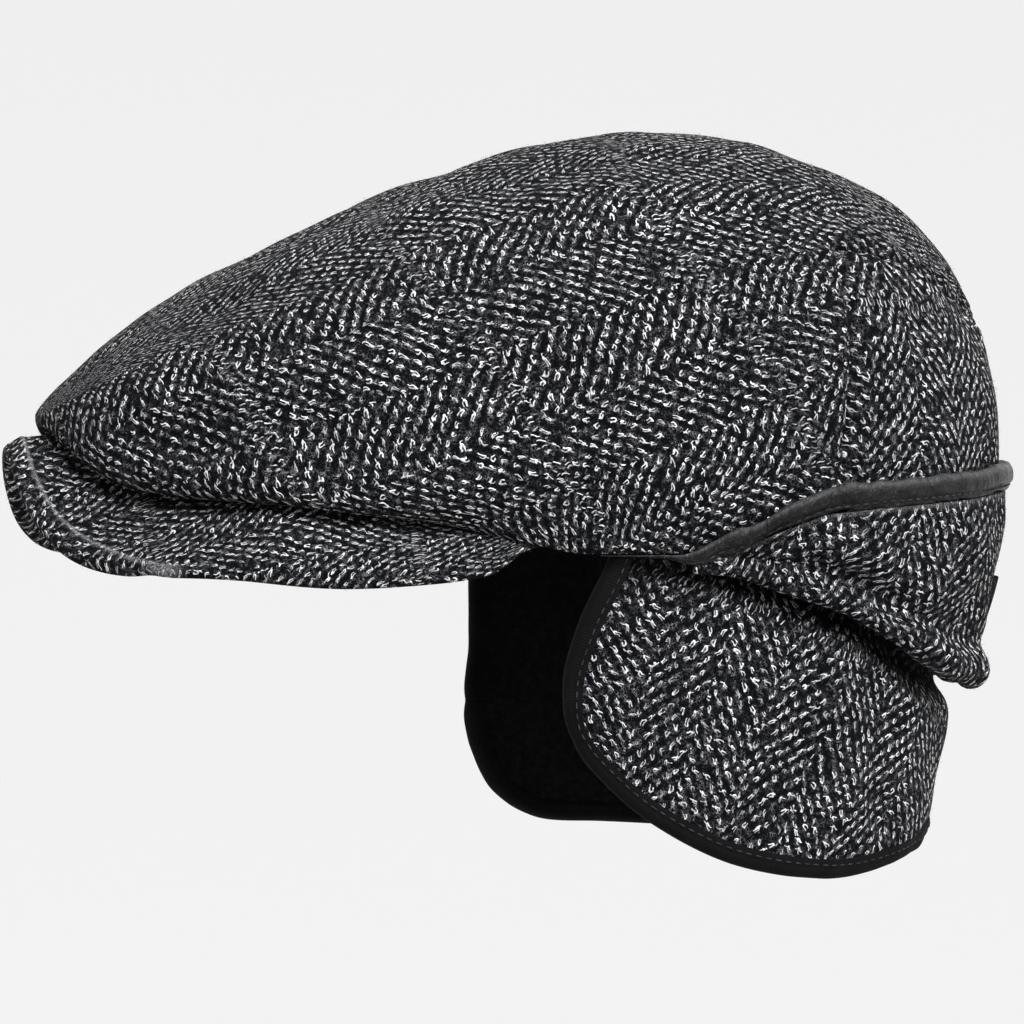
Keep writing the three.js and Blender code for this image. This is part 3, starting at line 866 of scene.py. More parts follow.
@dataclass(frozen=True)
class TweedFinish(Finish):
    """Herringbone wool tweed: dark twill in columns with looped pale flecks.

    Lengths are millimetres on the cloth and angles are radians. Flecks sit at each pitch along a row,
    and every other row is shifted by half of it. Every other column is mirrored. A narrow check line
    of finer strokes crosses the columns at each check. The mesh's wear-and-highlight mark pales the
    cloth at a sewn edge or where it rubs: partly wear, partly a painted highlight where the edge
    catches the light. Its painted-shade mark darkens the cloth where it lies in under another piece:
    painted shade standing in for the shadow there.
    """

    name: str = "tweed"
    column: float = 17.2
    row: float = 2.32
    pitch: float = 3.75
    check: float = 67.0
    check_width: float = 4.6
    leans: tuple[float, float] = (1.83, 2.35)
    half_length: float = 1.0
    half_width: float = 0.34
    strand: float = 0.14
    dark: tuple[float, float, float, float] = (0.0015, 0.0017, 0.0025, 1)
    grey: tuple[float, float, float, float] = (0.055, 0.057, 0.066, 1)
    pale: tuple[float, float, float, float] = (0.84, 0.84, 0.85, 1)
    # The colour of the pale sewn edges: partly wear, partly painted highlight.
    rubbed: tuple[float, float, float, float] = (0.3, 0.3, 0.31, 1)
    # The colour of the painted shade under the cuff's roll and the crown's edge.
    shade: tuple[float, float, float, float] = (0.0006, 0.0006, 0.0009, 1)
    seed: float = 3.0
    stray: tuple[float, float] = (0.9, 0.6)
    turn_spread: float = 0.75
    length_spread: float = 0.5
    width_spread: float = 0.24
    drift: float = 4.4
    jitter: float = 1.3
    stroke_row: float = 2.4
    stroke_pitch: float = 1.4

    def loops(
        self, graph: Graph, across: Value, along: Value, column: Value, lean: Value
    ) -> tuple[Value, Value]:
        """The loops of pale thread in the columns.

        Args:
            graph: the material's graph.
            across: millimetres across the column, mirrored.
            along: millimetres along the column.
            column: the column's number.
            lean: the angle that the loops lie at.

        Returns:
            How much pale thread there is, and how high it stands.
        """
        row = graph.maths("ROUND", along / self.row)
        slid = across + row * (self.pitch / 2)
        place = graph.maths("ROUND", slid / self.pitch)
        cell = graph.combine(place, row, column)
        r1, r2, r3 = graph.hashed(cell, self.seed)
        r4, r5, r6 = graph.hashed(cell, self.seed + 7.3)
        x = slid - place * self.pitch + (r1 - 0.5) * self.stray[0]
        y = along - row * self.row + (r2 - 0.5) * self.stray[1]
        turn = (r3 - 0.5) * self.turn_spread + lean
        cosine, sine = graph.maths("COSINE", turn), graph.maths("SINE", turn)
        a = x * cosine + y * sine
        b = y * cosine - x * sine
        b = b + graph.maths("SINE", a * 2.4 + r4 * TURN) * 0.17
        a = a * (graph.maths("ROUND", r3) * 2.0 - 1.0)
        half_length = r5 * self.length_spread + (self.half_length - self.length_spread / 2)
        half_width = r6 * self.width_spread + (self.half_width - self.width_spread / 2)
        ahead = graph.maths("MAXIMUM", a / half_length, 0.0)
        far = graph.maths("SQRT", ahead**2 + (b / half_width) ** 2)
        ends = graph.ease(ahead, 0.6, 1.0)
        away = abs(far - 1.0) * (half_width + (half_length - half_width) * ends * 0.6)
        thread = 1 - graph.ease(away, self.strand * 0.45, self.strand * 1.45)
        reach = r1 + (b > 0.0) * (r2 - r1)
        shown = graph.ease(a + half_length * (reach * 0.8 + 0.25), 0.0, 0.2)
        tail = self.tail(graph, a, b, half_length, half_width, r4)
        bright = graph.ease(r2, 0.0, 0.45) * 0.6 + 0.4
        drawn = graph.maths("MAXIMUM", thread * shown, tail * 0.8)
        solid = (1 - graph.ease(far, 0.7, 1.3)) * shown
        return drawn * bright * (r6 > 0.06), solid

    def tail(self, graph: Graph, a: Value, b: Value, length: Value, width: Value, chance: Value) -> Value:
        """The loose end that leaves a loop and runs on towards the next."""
        bend = b - width * 0.8 - graph.maths("SINE", (a - length) * 2.2) * 0.3
        on = graph.ease(a, 0.2, 0.6) * (1 - graph.ease(a, 1.6, 2.2)) * (chance > 0.3)
        return (1 - graph.ease(abs(bend), 0.06, 0.19)) * on

    def strokes(self, graph: Graph, u: Value, v: Value) -> Value:
        """The finer strokes of the check lines, which lie along the columns."""
        line = graph.maths("ROUND", v / self.check)
        gap = v - line * self.check
        row = graph.maths("ROUND", gap / self.stroke_row)
        slid = u + row * (self.stroke_pitch / 2)
        place = graph.maths("ROUND", slid / self.stroke_pitch)
        r1, r2, r3 = graph.hashed(graph.combine(place, row, line), self.seed + 3.1)
        x = slid - place * self.stroke_pitch + (r1 - 0.5) * 0.7
        y = gap - row * self.stroke_row + (r2 - 0.5) * 1.1
        bent = x + y * (r2 - 0.2) * 0.5 + graph.maths("SINE", y * 2.4 + r3 * TURN) * 0.16
        stroke = (1 - graph.ease(abs(bent), 0.07, 0.22)) * (1 - graph.ease(abs(y), 0.6, 1.2))
        return stroke * graph.ease(r3, 0.1, 0.9)

    def build(self) -> bpy.types.Material:
        """Makes the material."""
        material, graph, shader = self.start()
        flat = self.cloth_place(graph)
        solid = self.own_place(graph)
        _, drift = graph.noise(solid, 0.05, 2.0)
        _, jitter = graph.noise(solid, 0.55, 2.0)
        moved = flat
        for sway, reach in ((drift, self.drift), (jitter, self.jitter)):
            centred = graph.vector("SUBTRACT", sway, (0.5, 0.5, 0.5))
            moved = graph.vector("ADD", moved, graph.scaled(centred, reach))
        u, v, _ = graph.parts(moved)
        column = graph.maths("FLOOR", u / self.column)
        across = graph.maths("PINGPONG", u, self.column)
        odd = graph.maths("FRACT", column * 0.5) * 2.0
        along = v + odd * (self.row / 2)
        lean = odd * (self.leans[1] - self.leans[0]) + self.leans[0]
        loops, stand = self.loops(graph, across, along, column, lean)
        r_u, _ = graph.noise(solid, 0.3, 1.0)
        near_check = abs(v - graph.maths("ROUND", v / self.check) * self.check)
        uneven = (r_u - 0.5) * 3.0
        half_check = self.check_width / 2
        checked = 1 - graph.ease(near_check + uneven, half_check - 0.8, half_check + 0.6)
        fleck = graph.maths("MAXIMUM", loops * (1 - checked), self.strokes(graph, u, v) * checked)
        angle = math.atan2(self.pitch / 2, self.row)
        line = across * math.cos(angle) + along * math.sin(angle)
        spacing = self.pitch * math.cos(angle)
        rib = graph.maths("COSINE", line * (2 * math.pi / spacing)) * 0.5 + 0.5
        fine, _ = graph.noise(solid, 2.4, 3.0, 0.65)
        broad, _ = graph.noise(solid, 0.03, 0.0)
        hairs = self.hairs(graph, solid)
        fuzz = graph.ease(fine, 0.46, 0.78)
        body = graph.colour(fuzz * (rib * 0.66 + 0.12), self.dark, self.grey)
        body = graph.colour(hairs * (rib * 0.22 + 0.06), body, self.pale)
        strength = graph.ease(broad, 0.3, 0.7) * 0.2 + 0.8
        paint = graph.colour(fleck * strength, body, self.pale)
        # Paler along the sewn edges: partly wear, partly a painted highlight where the edge catches the
        # light.
        wear_and_highlight = graph.mark("wear_and_highlight") * graph.ease(fine, 0.36, 0.66) * 0.55
        paint = graph.colour(wear_and_highlight, paint, self.rubbed)
        # Painted shade: darker where the band lies in under the cuff's roll and the crown's edge, standing in
        # for the shadow there.
        paint = graph.colour(graph.mark("painted_shade") * 0.9, paint, self.shade)
        self.bump(graph, shader, rib * 0.3 + stand * 0.45 + fleck * 0.7 + fine * 0.7, 1.0, 0.6)
        graph.fill(shader, Base_Color=paint, Roughness=0.85, Specular_IOR_Level=0.02)
        graph.fill(shader, Sheen_Weight=0.005, Sheen_Roughness=0.5, Sheen_Tint=(0.86, 0.88, 0.95, 1))
        return material

    @staticmethod
    def hairs(graph: Graph, place: Value) -> Value:
        """Thin curled fibres, at the level lines of two soft noises."""
        first, _ = graph.noise(place, 0.62, 2.0, 0.55)
        second, _ = graph.noise(graph.vector("ADD", place, (31.0, 17.0, 5.0)), 0.9, 2.0, 0.5)
        patches, _ = graph.noise(place, 0.5, 1.0)
        one = 1 - graph.ease(abs(first - 0.5), 0.004, 0.016)
        two = 1 - graph.ease(abs(second - 0.47), 0.005, 0.02)
        return graph.maths("MAXIMUM", one, two) * graph.ease(patches, 0.42, 0.62)


@dataclass(frozen=True)
class LeatherFinish(Finish):
    """Soft black leather with a fine grain and a low sheen, paler in random patches of wear and along the
    piping's upper side, where the paleness is partly wear and partly a painted highlight.
    """

    name: str = "leather"
    colour: tuple[float, float, float, float] = (0.0014, 0.0014, 0.0017, 1)
    # The colour of patches of wear and of the piping's painted highlight.
    rubbed: tuple[float, float, float, float] = (0.048, 0.0485, 0.05, 1)

    def build(self) -> bpy.types.Material:
        """Makes the material."""
        material, graph, shader = self.start()
        place = self.own_place(graph)
        cells = graph.node("ShaderNodeTexVoronoi", {"feature": "DISTANCE_TO_EDGE"}, Vector=place, Scale=1.7)
        grain = graph.ease(Value(graph, cells.outputs[0]), 0.0, 0.22)
        broad, _ = graph.noise(place, 0.12, 3.0)
        creased, _ = graph.noise(graph.vector("MULTIPLY", place, (1.0, 1.0, 0.35)), 0.7, 3.0)
        # Paler along the piping's upper side: partly wear, partly a painted highlight where it catches the
        # light from above.
        edge = graph.mark("wear_and_highlight") * (graph.ease(creased, 0.3, 0.6) * 0.6 + 0.4)
        rub_and_highlight = graph.ease(broad, 0.4, 0.75) * 0.07 + edge
        paint = graph.colour(rub_and_highlight, self.colour, self.rubbed)
        rough = 0.28 - rub_and_highlight * 0.06 + (1 - grain) * 0.1
        dents, _ = graph.noise(place, 0.22, 2.0)
        self.bump(graph, shader, grain * 0.13 + creased * 1.3 + dents * 2.2, 0.9, 1.0)
        graph.fill(shader, Base_Color=paint, Roughness=rough, Specular_IOR_Level=0.21)
        return material


@dataclass(frozen=True)
class FleeceFinish(Finish):
    """Matt black brushed fleece."""

    name: str = "fleece"
    colour: tuple[float, float, float, float] = (0.003, 0.003, 0.0033, 1)
    light: tuple[float, float, float, float] = (0.0085, 0.0085, 0.009, 1)

    def build(self) -> bpy.types.Material:
        """Makes the material."""
        material, graph, shader = self.start()
        place = self.own_place(graph)
        tufts, _ = graph.noise(place, 0.5, 4.0, 0.7)
        nap, _ = graph.noise(place, 2.2, 2.0, 0.6)
        paint = graph.colour(graph.ease(tufts, 0.35, 0.75), self.colour, self.light)
        self.bump(graph, shader, tufts + nap * 0.6, 0.7, 1.0)
        graph.fill(shader, Base_Color=paint, Roughness=1.0, Specular_IOR_Level=0.05)
        return material


@dataclass(frozen=True)
class TapeFinish(Finish):
    """Black binding tape with fine ribs across it."""

    name: str = "tape"
    rib: float = 0.8
    thread: float = 0.55
    colour: tuple[float, float, float, float] = (0.001, 0.001, 0.0012, 1)
    light: tuple[float, float, float, float] = (0.0036, 0.0036, 0.004, 1)

    def build(self) -> bpy.types.Material:
        """Makes the material."""
        material, graph, shader = self.start()
        along, across, _ = graph.parts(self.cloth_place(graph))
        solid = self.own_place(graph)
        fine, _ = graph.noise(solid, 2.4, 2.0)
        broad, _ = graph.noise(solid, 0.15, 2.0)
        ribs = graph.maths("SINE", along * (2 * math.pi / self.rib)) * 0.5 + 0.5
        threads = graph.maths("SINE", across * (2 * math.pi / self.thread)) * 0.5 + 0.5
        tone = ribs * 0.15 + fine * 0.6 + broad * 0.5
        paint = graph.colour(graph.ease(tone, 0.2, 1.0), self.colour, self.light)
        self.bump(graph, shader, ribs * 0.45 + threads * 0.2 + fine * 0.9, 0.6, 0.3)
        graph.fill(shader, Base_Color=paint, Roughness=0.8, Sheen_Weight=0.008, Specular_IOR_Level=0.06)
        return material


@dataclass(frozen=True)
class ThreadFinish(Finish):
    """Spun thread or loose wool of one shade."""

    name: str = "thread"
    colour: tuple[float, float, float, float] = (0.01, 0.01, 0.011, 1)
    light: tuple[float, float, float, float] = (0.03, 0.03, 0.032, 1)

    def build(self) -> bpy.types.Material:
        """Makes the material."""
        material, graph, shader = self.start()
        varied, _ = graph.noise(self.own_place(graph), 0.9, 2.0)
        paint = graph.colour(graph.ease(varied, 0.35, 0.65), self.colour, self.light)
        graph.fill(shader, Base_Color=paint, Roughness=0.85, Specular_IOR_Level=0.2)
        return material


@dataclass(frozen=True)
class PlainFinish(Finish):
    """A plain pale studio floor that glows a little where it curves up."""

    name: str = "floor"
    grey: float = 0.5
    glow: float = 0.535
    glow_from: float = -1200.0
    glow_full: float = -820.0

    def build(self) -> bpy.types.Material:
        """Makes the material."""
        material, graph, shader = self.start()
        _, _, height = graph.parts(self.own_place(graph))
        glow = graph.ease(height, self.glow_from, self.glow_full)
        light = graph.colour(glow, (0.5, 0.5, 0.5, 1), (1, 1, 1, 1))
        paint = (self.grey, self.grey, self.grey, 1)
        graph.fill(shader, Base_Color=paint, Roughness=1.0, Specular_IOR_Level=0.0)
        graph.fill(shader, Emission_Color=light, Emission_Strength=self.glow)
        return material


class Materials:
    """Every finish of the cap, made once."""

    def __init__(self) -> None:
        """Builds the materials."""
        self.tweed = TweedFinish().build()
        self.leather = LeatherFinish().build()
        self.fleece = FleeceFinish().build()
        self.tape = TapeFinish().build()
        self.thread = ThreadFinish().build()
        self.wool = ThreadFinish("loose_wool", (0.008, 0.008, 0.01, 1), (0.16, 0.16, 0.17, 1)).build()


class GeometryTree(Graph):
    """A Geometry Nodes tree with named inputs that makes a plain mesh."""

    def __init__(self, name: str, inputs: dict[str, tuple[str, Any]]) -> None:
        """Starts the tree.

        Args:
            name: the tree's name.
            inputs: each input's socket type and value, by name.
        """
        super().__init__(bpy.data.node_groups.new(name, "GeometryNodeTree"))
        face = self.tree.interface
        face.new_socket("Geometry", in_out="INPUT", socket_type="NodeSocketGeometry")
        self.ids = {}
        self.values = {}
        for key, (kind, value) in inputs.items():
            self.ids[key] = face.new_socket(key, in_out="INPUT", socket_type=kind).identifier
            self.values[key] = value
        face.new_socket("Geometry", in_out="OUTPUT", socket_type="NodeSocketGeometry")
        self.start = self.node("NodeGroupInput")

    def given(self, name: str) -> bpy.types.NodeSocket:
        """The socket of a named input."""
        return self.start.outputs[name]

    def end(self, geometry: bpy.types.NodeSocket) -> None:
        """Realizes the instances, gives them the material and ends the tree."""
        real = self.node("GeometryNodeRealizeInstances", Geometry=geometry)
        material = self.given("Material")
        dressed = self.node("GeometryNodeSetMaterial", Geometry=real.outputs[0], Material=material)
        self.node("NodeGroupOutput", Geometry=dressed.outputs[0])

    def make(self, name: str, source: bpy.types.Object) -> bpy.types.Object:
        """Runs the tree on an object and gives the result as a plain mesh object.

        Args:
            name: the new piece's name.
            source: the object that the tree works on.

        Returns:
            The new object, linked.
        """
        modifier = source.modifiers.new(self.tree.name, "NODES")
        modifier.node_group = self.tree
        for key, value in self.values.items():
            modifier[self.ids[key]] = value
        seen = source.evaluated_get(bpy.context.evaluated_depsgraph_get())
        mesh = bpy.data.meshes.new_from_object(seen)
        source.modifiers.remove(modifier)
        mesh.name = name
        return linked(name, mesh)


@dataclass(frozen=True)
class StitchRow:
    """A row of stitches along a path: the length, pitch and thickness of a stitch, in millimetres."""

    length: float = 2.2
    pitch: float = 3.2
    thickness: float = 0.45

    def tree(self, material: bpy.types.Material) -> GeometryTree:
        """The tree that lays a stitch at each pitch of a path."""
        half_thick = self.thickness * MM / 2
        tree = GeometryTree(
            "stitch_row",
            {
                "Pitch": ("NodeSocketFloat", self.pitch * MM),
                "Size": ("NodeSocketVector", (self.length * MM / 2, half_thick, half_thick)),
                "Material": ("NodeSocketMaterial", material),
            },
        )
        path = tree.node("GeometryNodeMeshToCurve", Mesh=tree.given("Geometry"))
        spaced = tree.node(
            "GeometryNodeResampleCurve", {"mode": "LENGTH"}, Curve=path.outputs[0], Length=tree.given("Pitch")
        )
        bead = tree.node("GeometryNodeMeshUVSphere", Segments=8, Rings=5, Radius=1.0)
        soft = tree.node("GeometryNodeSetShadeSmooth", Geometry=bead.outputs[0])
        tangent = tree.node("GeometryNodeInputTangent")
        turned = tree.node("FunctionNodeAlignEulerToVector", {"axis": "X"}, Vector=tangent.outputs[0])
        laid = tree.node(
            "GeometryNodeInstanceOnPoints",
            Points=spaced.outputs[0], Instance=soft.outputs[0],
            Rotation=turned.outputs[0], Scale=tree.given("Size"),
        )
        tree.end(laid.outputs[0])
        return tree

    def sew(self, name: str, path: Array, material: bpy.types.Material) -> bpy.types.Object:
        """Sews a row of stitches.

        Args:
            name: the piece's name.
            path: its points in millimetres.
            material: the thread.

        Returns:
            The stitches as one mesh object.
        """
        mesh = bpy.data.meshes.new(name + "_path")
        mesh.from_pydata((path * MM).tolist(), [(i, i + 1) for i in range(len(path) - 1)], [])
        source = linked(name + "_path", mesh)
        made = self.tree(material).make(name, source)
        bpy.data.objects.remove(source)
        return made


@dataclass(frozen=True)
class LooseWool:
    """Short curled fibres that stand off the cloth. Lengths are millimetres, density per square metre."""

    density: float = 50000.0
    length: float = 1.1
    radius: float = 0.03
    seed: int = 5
    shortest: float = 0.45

    def tree(self, cloth: bpy.types.Material, material: bpy.types.Material) -> GeometryTree:
        """The tree that scatters fibres over the faces of one cloth."""
        tree = GeometryTree(
            "loose_wool",
            {
                "Density": ("NodeSocketFloat", self.density),
                "Length": ("NodeSocketFloat", self.length * MM),
                "Radius": ("NodeSocketFloat", self.radius * MM),
                "Seed": ("NodeSocketInt", self.seed),
                "Material": ("NodeSocketMaterial", material),
            },
        )
        chosen = tree.node("GeometryNodeMaterialSelection", {}, Material=cloth)
        spots = tree.node(
            "GeometryNodeDistributePointsOnFaces",
            Mesh=tree.given("Geometry"), Selection=chosen.outputs[0],
            Density=tree.given("Density"), Seed=tree.given("Seed"),
        )
        bend = tree.node(
            "GeometryNodeCurveQuadraticBezier",
            Resolution=3, Start=(0.0, 0.0, -0.1), Middle=(0.15, 0.0, 0.7), End=(0.75, 0.1, 0.75),
        )
        ring = tree.node("GeometryNodeCurvePrimitiveCircle", Resolution=3, Radius=self.radius / self.length)
        strand = tree.node("GeometryNodeCurveToMesh", Curve=bend.outputs[0], Profile_Curve=ring.outputs[0])
        upright = tree.node("FunctionNodeAlignEulerToVector", {"axis": "Z"}, Vector=spots.outputs["Normal"])
        spin = tree.node(
            "FunctionNodeRandomValue", {"data_type": "FLOAT_VECTOR"},
            i0=(-0.7, -0.7, -3.1416), i1=(0.7, 0.7, 3.1416), Seed=self.seed + 1,
        )
        tilted = tree.node(
            "FunctionNodeRotateEuler", {"rotation_type": "EULER", "space": "LOCAL"},
            i0=upright.outputs[0], i1=spin.outputs[0],
        )
        size = tree.node(
            "FunctionNodeRandomValue", {"data_type": "FLOAT"},
            i2=self.length * MM * self.shortest, i3=self.length * MM, Seed=self.seed + 2,
        )
        laid = tree.node(
            "GeometryNodeInstanceOnPoints",
            Points=spots.outputs[0], Instance=strand.outputs[0],
            Rotation=tilted.outputs[0], Scale=size.outputs[1],
        )
        tree.end(laid.outputs[0])
        return tree

    def grow(self, name: str, cloth: bpy.types.Object, material: bpy.types.Material) -> bpy.types.Object:
        """Grows fibres on a piece of cloth.

        Args:
            name: the new piece's name.
            cloth: the piece that they stand on, whose first material they keep to.
            material: the fibres' material.

        Returns:
            The fibres as one mesh object.
        """
        return self.tree(cloth.data.materials[0], material).make(name, cloth)


# The sub-assemblies


@dataclass
class Workshop:
    """What each sub-assembly needs: the form, the materials and the list of finished pieces."""

    form: CapForm
    materials: Materials
    pieces: list[bpy.types.Object] = field(default_factory=list)

    def finish(self, piece: bpy.types.Object, slot: str | None, *nodes: str) -> None:
        """Puts a piece on the cap's body, in place of nodes.

        Args:
            piece: the finished piece.
            slot: the record's material slot, if it has one; not used.
            nodes: the frame's nodes that it stands for.
        """
        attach(piece, "root")
        if nodes:
            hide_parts(*nodes)
        self.pieces.append(piece)
        log.info("%s: %d faces", piece.name, len(piece.data.polygons))

    def grow_wool(self, name: str, cloth: bpy.types.Object, seed: int) -> None:
        """Grows loose wool of a name on a piece of tweed, placed by a seed."""
        self.finish(LooseWool(seed=seed).grow(name, cloth, self.materials.wool), None)

    @staticmethod
    def declare(
        piece: bpy.types.Object,
        weave: Array,
        points: Array,
        held: str,
        rests_on: Sequence[str] = (),
        keep: Array | None = None,
    ) -> None:
        """Works out the area of each square of a piece's outer grid, leaving out squares that are not there;
        the areas are not kept.

        Args:
            piece: the cloth; not used.
            weave: its flat coordinates in millimetres; not used.
            points: its outer grid in millimetres.
            held: how it is held; not used.
            rests_on: the names of what it lies on; not used.
            keep: the grid's squares that are there.
        """
        a, b, c, d = points[:-1, :-1], points[:-1, 1:], points[1:, 1:], points[1:, :-1]
        halves = (np.cross(b - a, c - a), np.cross(c - a, d - a))
        areas = sum(np.linalg.norm(half, axis=-1) for half in halves) / 2
        if keep is not None:
            areas = areas * keep[:, : areas.shape[1]]


@dataclass
class Crown:
    """The top panel and the back panel, with the seam between them."""

    shop: Workshop
    side_columns: int = 150
    back_columns: int = 100
    rise_rows: tuple[int, int, int] = (35, 27, 47)
    seam_points: tuple[int, int] = (50, 60)
    flat_rows: int = 420
    flat_shares: int = 160
    flat_offsets: int = 96
    flat_reach: float = 190.0
    seam_gap: float = 0.02
    groove_depth: float = 3.0
    groove_width: float = 1.9
    pucker_height: float = 0.55
    pucker_reach: float = 10.0
    pucker_pitch: float = 8.0
    side_grain: float = 20.0
    side_start: float = 139.3
    side_ease: float = 0.88
    check_start: float = 15.0
    check_lean: float = 0.53
    check_level: float = 70.0
    relief: tuple[Relief, ...] = (Relief(46, 0.55, 11), Relief(17, 0.22, 12))
    folds: tuple[Fold, ...] = (
        Fold(((31, 62), (28, 40), (24, 22)), 0.8, 6),
        Fold(((18, 50), (14, 34), (8, 16)), 0.6, 7),
        Fold(((41, 70), (38, 45), (36, 20)), -0.6, 5),
        Fold(((-60, 76), (-48, 62), (-40, 52)), 0.5, 4),
        Fold(((-140, 24), (-126, 31), (-113, 35), (-100, 35), (-84, 30)), 1.5, 4.5),
        Fold(((-138, 36), (-124, 42), (-108, 45), (-92, 42)), -0.7, 6),
        Fold(((30, 58), (26, 40), (24, 24)), 0.7, 7, -1),
    )

    def rows(self) -> Array:
        """The rises of the top panel's rows."""
        seam = self.shop.form.seam_rise
        low, middle, high = self.rise_rows
        return np.concatenate(
            [np.linspace(-1, 0, low), np.linspace(0, seam, middle)[1:], np.linspace(seam, 1, high)[1:]]
        )

    def place(self, column: Array, row: Array) -> tuple[Array, Array]:
        """The angle and the rise at a column and a row.

        Args:
            column: share of the side up to 1, of the back up to 2 and of the far side up to 3.
            row: the row's rise, before the rows sink towards the middle of the back.

        Returns:
            Angles and rises.
        """
        form = self.shop.form
        seam = form.seam_angle(row)
        over_back = lerp(seam, 2 * math.pi - seam, column - 1)
        far_side = 2 * math.pi - (3 - column) * seam
        angle = np.where(column <= 1, column * seam, np.where(column <= 2, over_back, far_side))
        side = np.clip(np.abs(2 * column - 3), 0, 1)
        sunk = lerp(form.seam_middle, form.seam_rise, np.sin(side * math.pi / 2) ** 1.5)
        low = row / form.seam_rise * sunk
        high = lerp(sunk, 1, (row - form.seam_rise) / (1 - form.seam_rise))
        return angle, np.where(row <= 0, row, np.where(row <= form.seam_rise, low, high))

    def seam_path(self) -> Array:
        """The seam's points, up the left side, over the back panel and down the right side."""
        form = self.shop.form
        side_count, top_count = self.seam_points
        up = np.linspace(-1, form.seam_rise, side_count)
        left = form.crown(form.seam_angle(up), up)
        column = np.linspace(1, 2, top_count)
        top = form.crown(*self.place(column, np.full(top_count, form.seam_rise)))
        right = left[::-1] * np.array([-1, 1, 1])
        return np.vstack([left, top[1:-1], right])

    def worked(self, points: Array, around: bool) -> Array:
        """Adds the groove, the puckers, the folds and the unevenness to a panel.

        Args:
            points: the panel's smooth grid.
            around: whether it goes all the way round.

        Returns:
            The grid as it really lies.
        """
        normals = surface_normals(points, around)
        distance, along = nearest_on_path(points, self.seam_path())
        groove = -self.groove_depth * np.exp(-((distance / self.groove_width) ** 2))
        wave = np.sin(along * (2 * math.pi / self.pucker_pitch) + 2.2 * np.sin(along / 13.0))
        fade = np.exp(-((distance / self.pucker_reach) ** 2)) * smoothstep(points[..., 2], 6, 24)
        shift = groove + self.pucker_height * wave * fade
        free = smoothstep(points[..., 2], 8, 26)
        for relief in self.relief:
            shift = shift + relief.at(points) * free
        for fold in self.folds:
            shift = shift + fold.at(points) * free
        shift = shift * (1 - 0.6 * smoothstep(-points[..., 1], 135, 155))
        return points + normals * shift[..., None]

    def flat_cloth(self, points: Array, angle: Array, rise: Array) -> Array:
        """The top panel's own flat coordinates, columns of the weave running from front to back.

        Args:
            points: the panel's smooth grid.
            angle: its angles.
            rise: its rises.

        Returns:
            Millimetres across and along the weave.
        """
        form = self.shop.form
        nose, nape = form.widest.middle - form.widest.front + 0.5, form.widest.middle + form.widest.back - 0.5
        ys = np.linspace(nose, nape, self.flat_rows)
        shares = np.linspace(0, 1, self.flat_shares)
        xs = form.half_width(ys)[:, None] * np.sin(shares * math.pi / 2)[None]
        zs = form.roof(xs, ys[:, None])
        steps = np.hypot(np.diff(xs, axis=1), np.diff(zs, axis=1))
        arc = np.concatenate([np.zeros((len(ys), 1)), np.cumsum(steps, axis=1)], axis=1)
        offsets = np.linspace(0, self.flat_reach, self.flat_offsets)
        line_x = np.stack([np.interp(offsets, a, x) for a, x in zip(arc, xs)])
        line_z = np.stack([np.interp(offsets, a, z) for a, z in zip(arc, zs)])
        line_z -= np.maximum(offsets[None] - arc[:, -1:], 0)
        solid = np.stack([line_x, np.broadcast_to(ys[:, None], line_x.shape), line_z], -1)
        run = lengths_along(solid)
        start = int(np.abs(ys - form.ridge_y).argmin())
        run = run - run[start]
        plan_x, plan_y = form.widest.point(angle)
        above = rise >= 0
        x = np.where(above, points[..., 0], plan_x)
        y = np.clip(np.where(above, points[..., 1], plan_y), ys[0], ys[-1])
        row = (y - ys[0]) / (ys[1] - ys[0])
        i = np.clip(row.astype(int), 0, len(ys) - 2)
        t = row - i
        share = np.arcsin(np.clip(np.abs(x) / form.half_width(y), 0, 1)) / (math.pi / 2) * (len(shares) - 1)
        k = np.clip(share.astype(int), 0, len(shares) - 2)
        s = share - k
        u = lerp(lerp(arc[i, k], arc[i, k + 1], s), lerp(arc[i + 1, k], arc[i + 1, k + 1], s), t)
        place = u / (offsets[1] - offsets[0])
        j = np.clip(place.astype(int), 0, len(offsets) - 2)
        w = place - j
        v = lerp(lerp(run[i, j], run[i, j + 1], w), lerp(run[i + 1, j], run[i + 1, j + 1], w), t)
        rim = form.crown(angle, np.zeros_like(rise))
        drop = np.where(above, 0, np.linalg.norm(points - rim, axis=-1))
        plan_share = (plan_y - form.widest.middle) / form.widest.front
        way = unit(np.stack([plan_x / form.widest.half, plan_share], -1))
        total = np.interp(y, ys, arc[:, -1])
        height = np.where(above, total - u, -drop)
        u = u + drop * np.abs(way[..., 0])
        v = v + drop * way[..., 1]
        plan = np.stack([form.half_width(ys), ys], -1)
        round_side = lengths_along(plan)
        level = np.interp(y, ys, round_side) - np.interp(form.ridge_y, ys, round_side)
        grain = math.radians(self.side_grain)
        side_u = level * math.sin(grain) - height * math.cos(grain) * self.side_ease + self.side_start
        side_v = level * math.cos(grain) + (height - self.check_level) * self.check_lean
        part = smoothstep(u / total, 0.2, 0.85)
        turned = -lerp(u, side_u, part) * np.sign(points[..., 0] + 1e-9)
        return np.stack([turned, lerp(v, side_v, part) + self.check_start], -1)

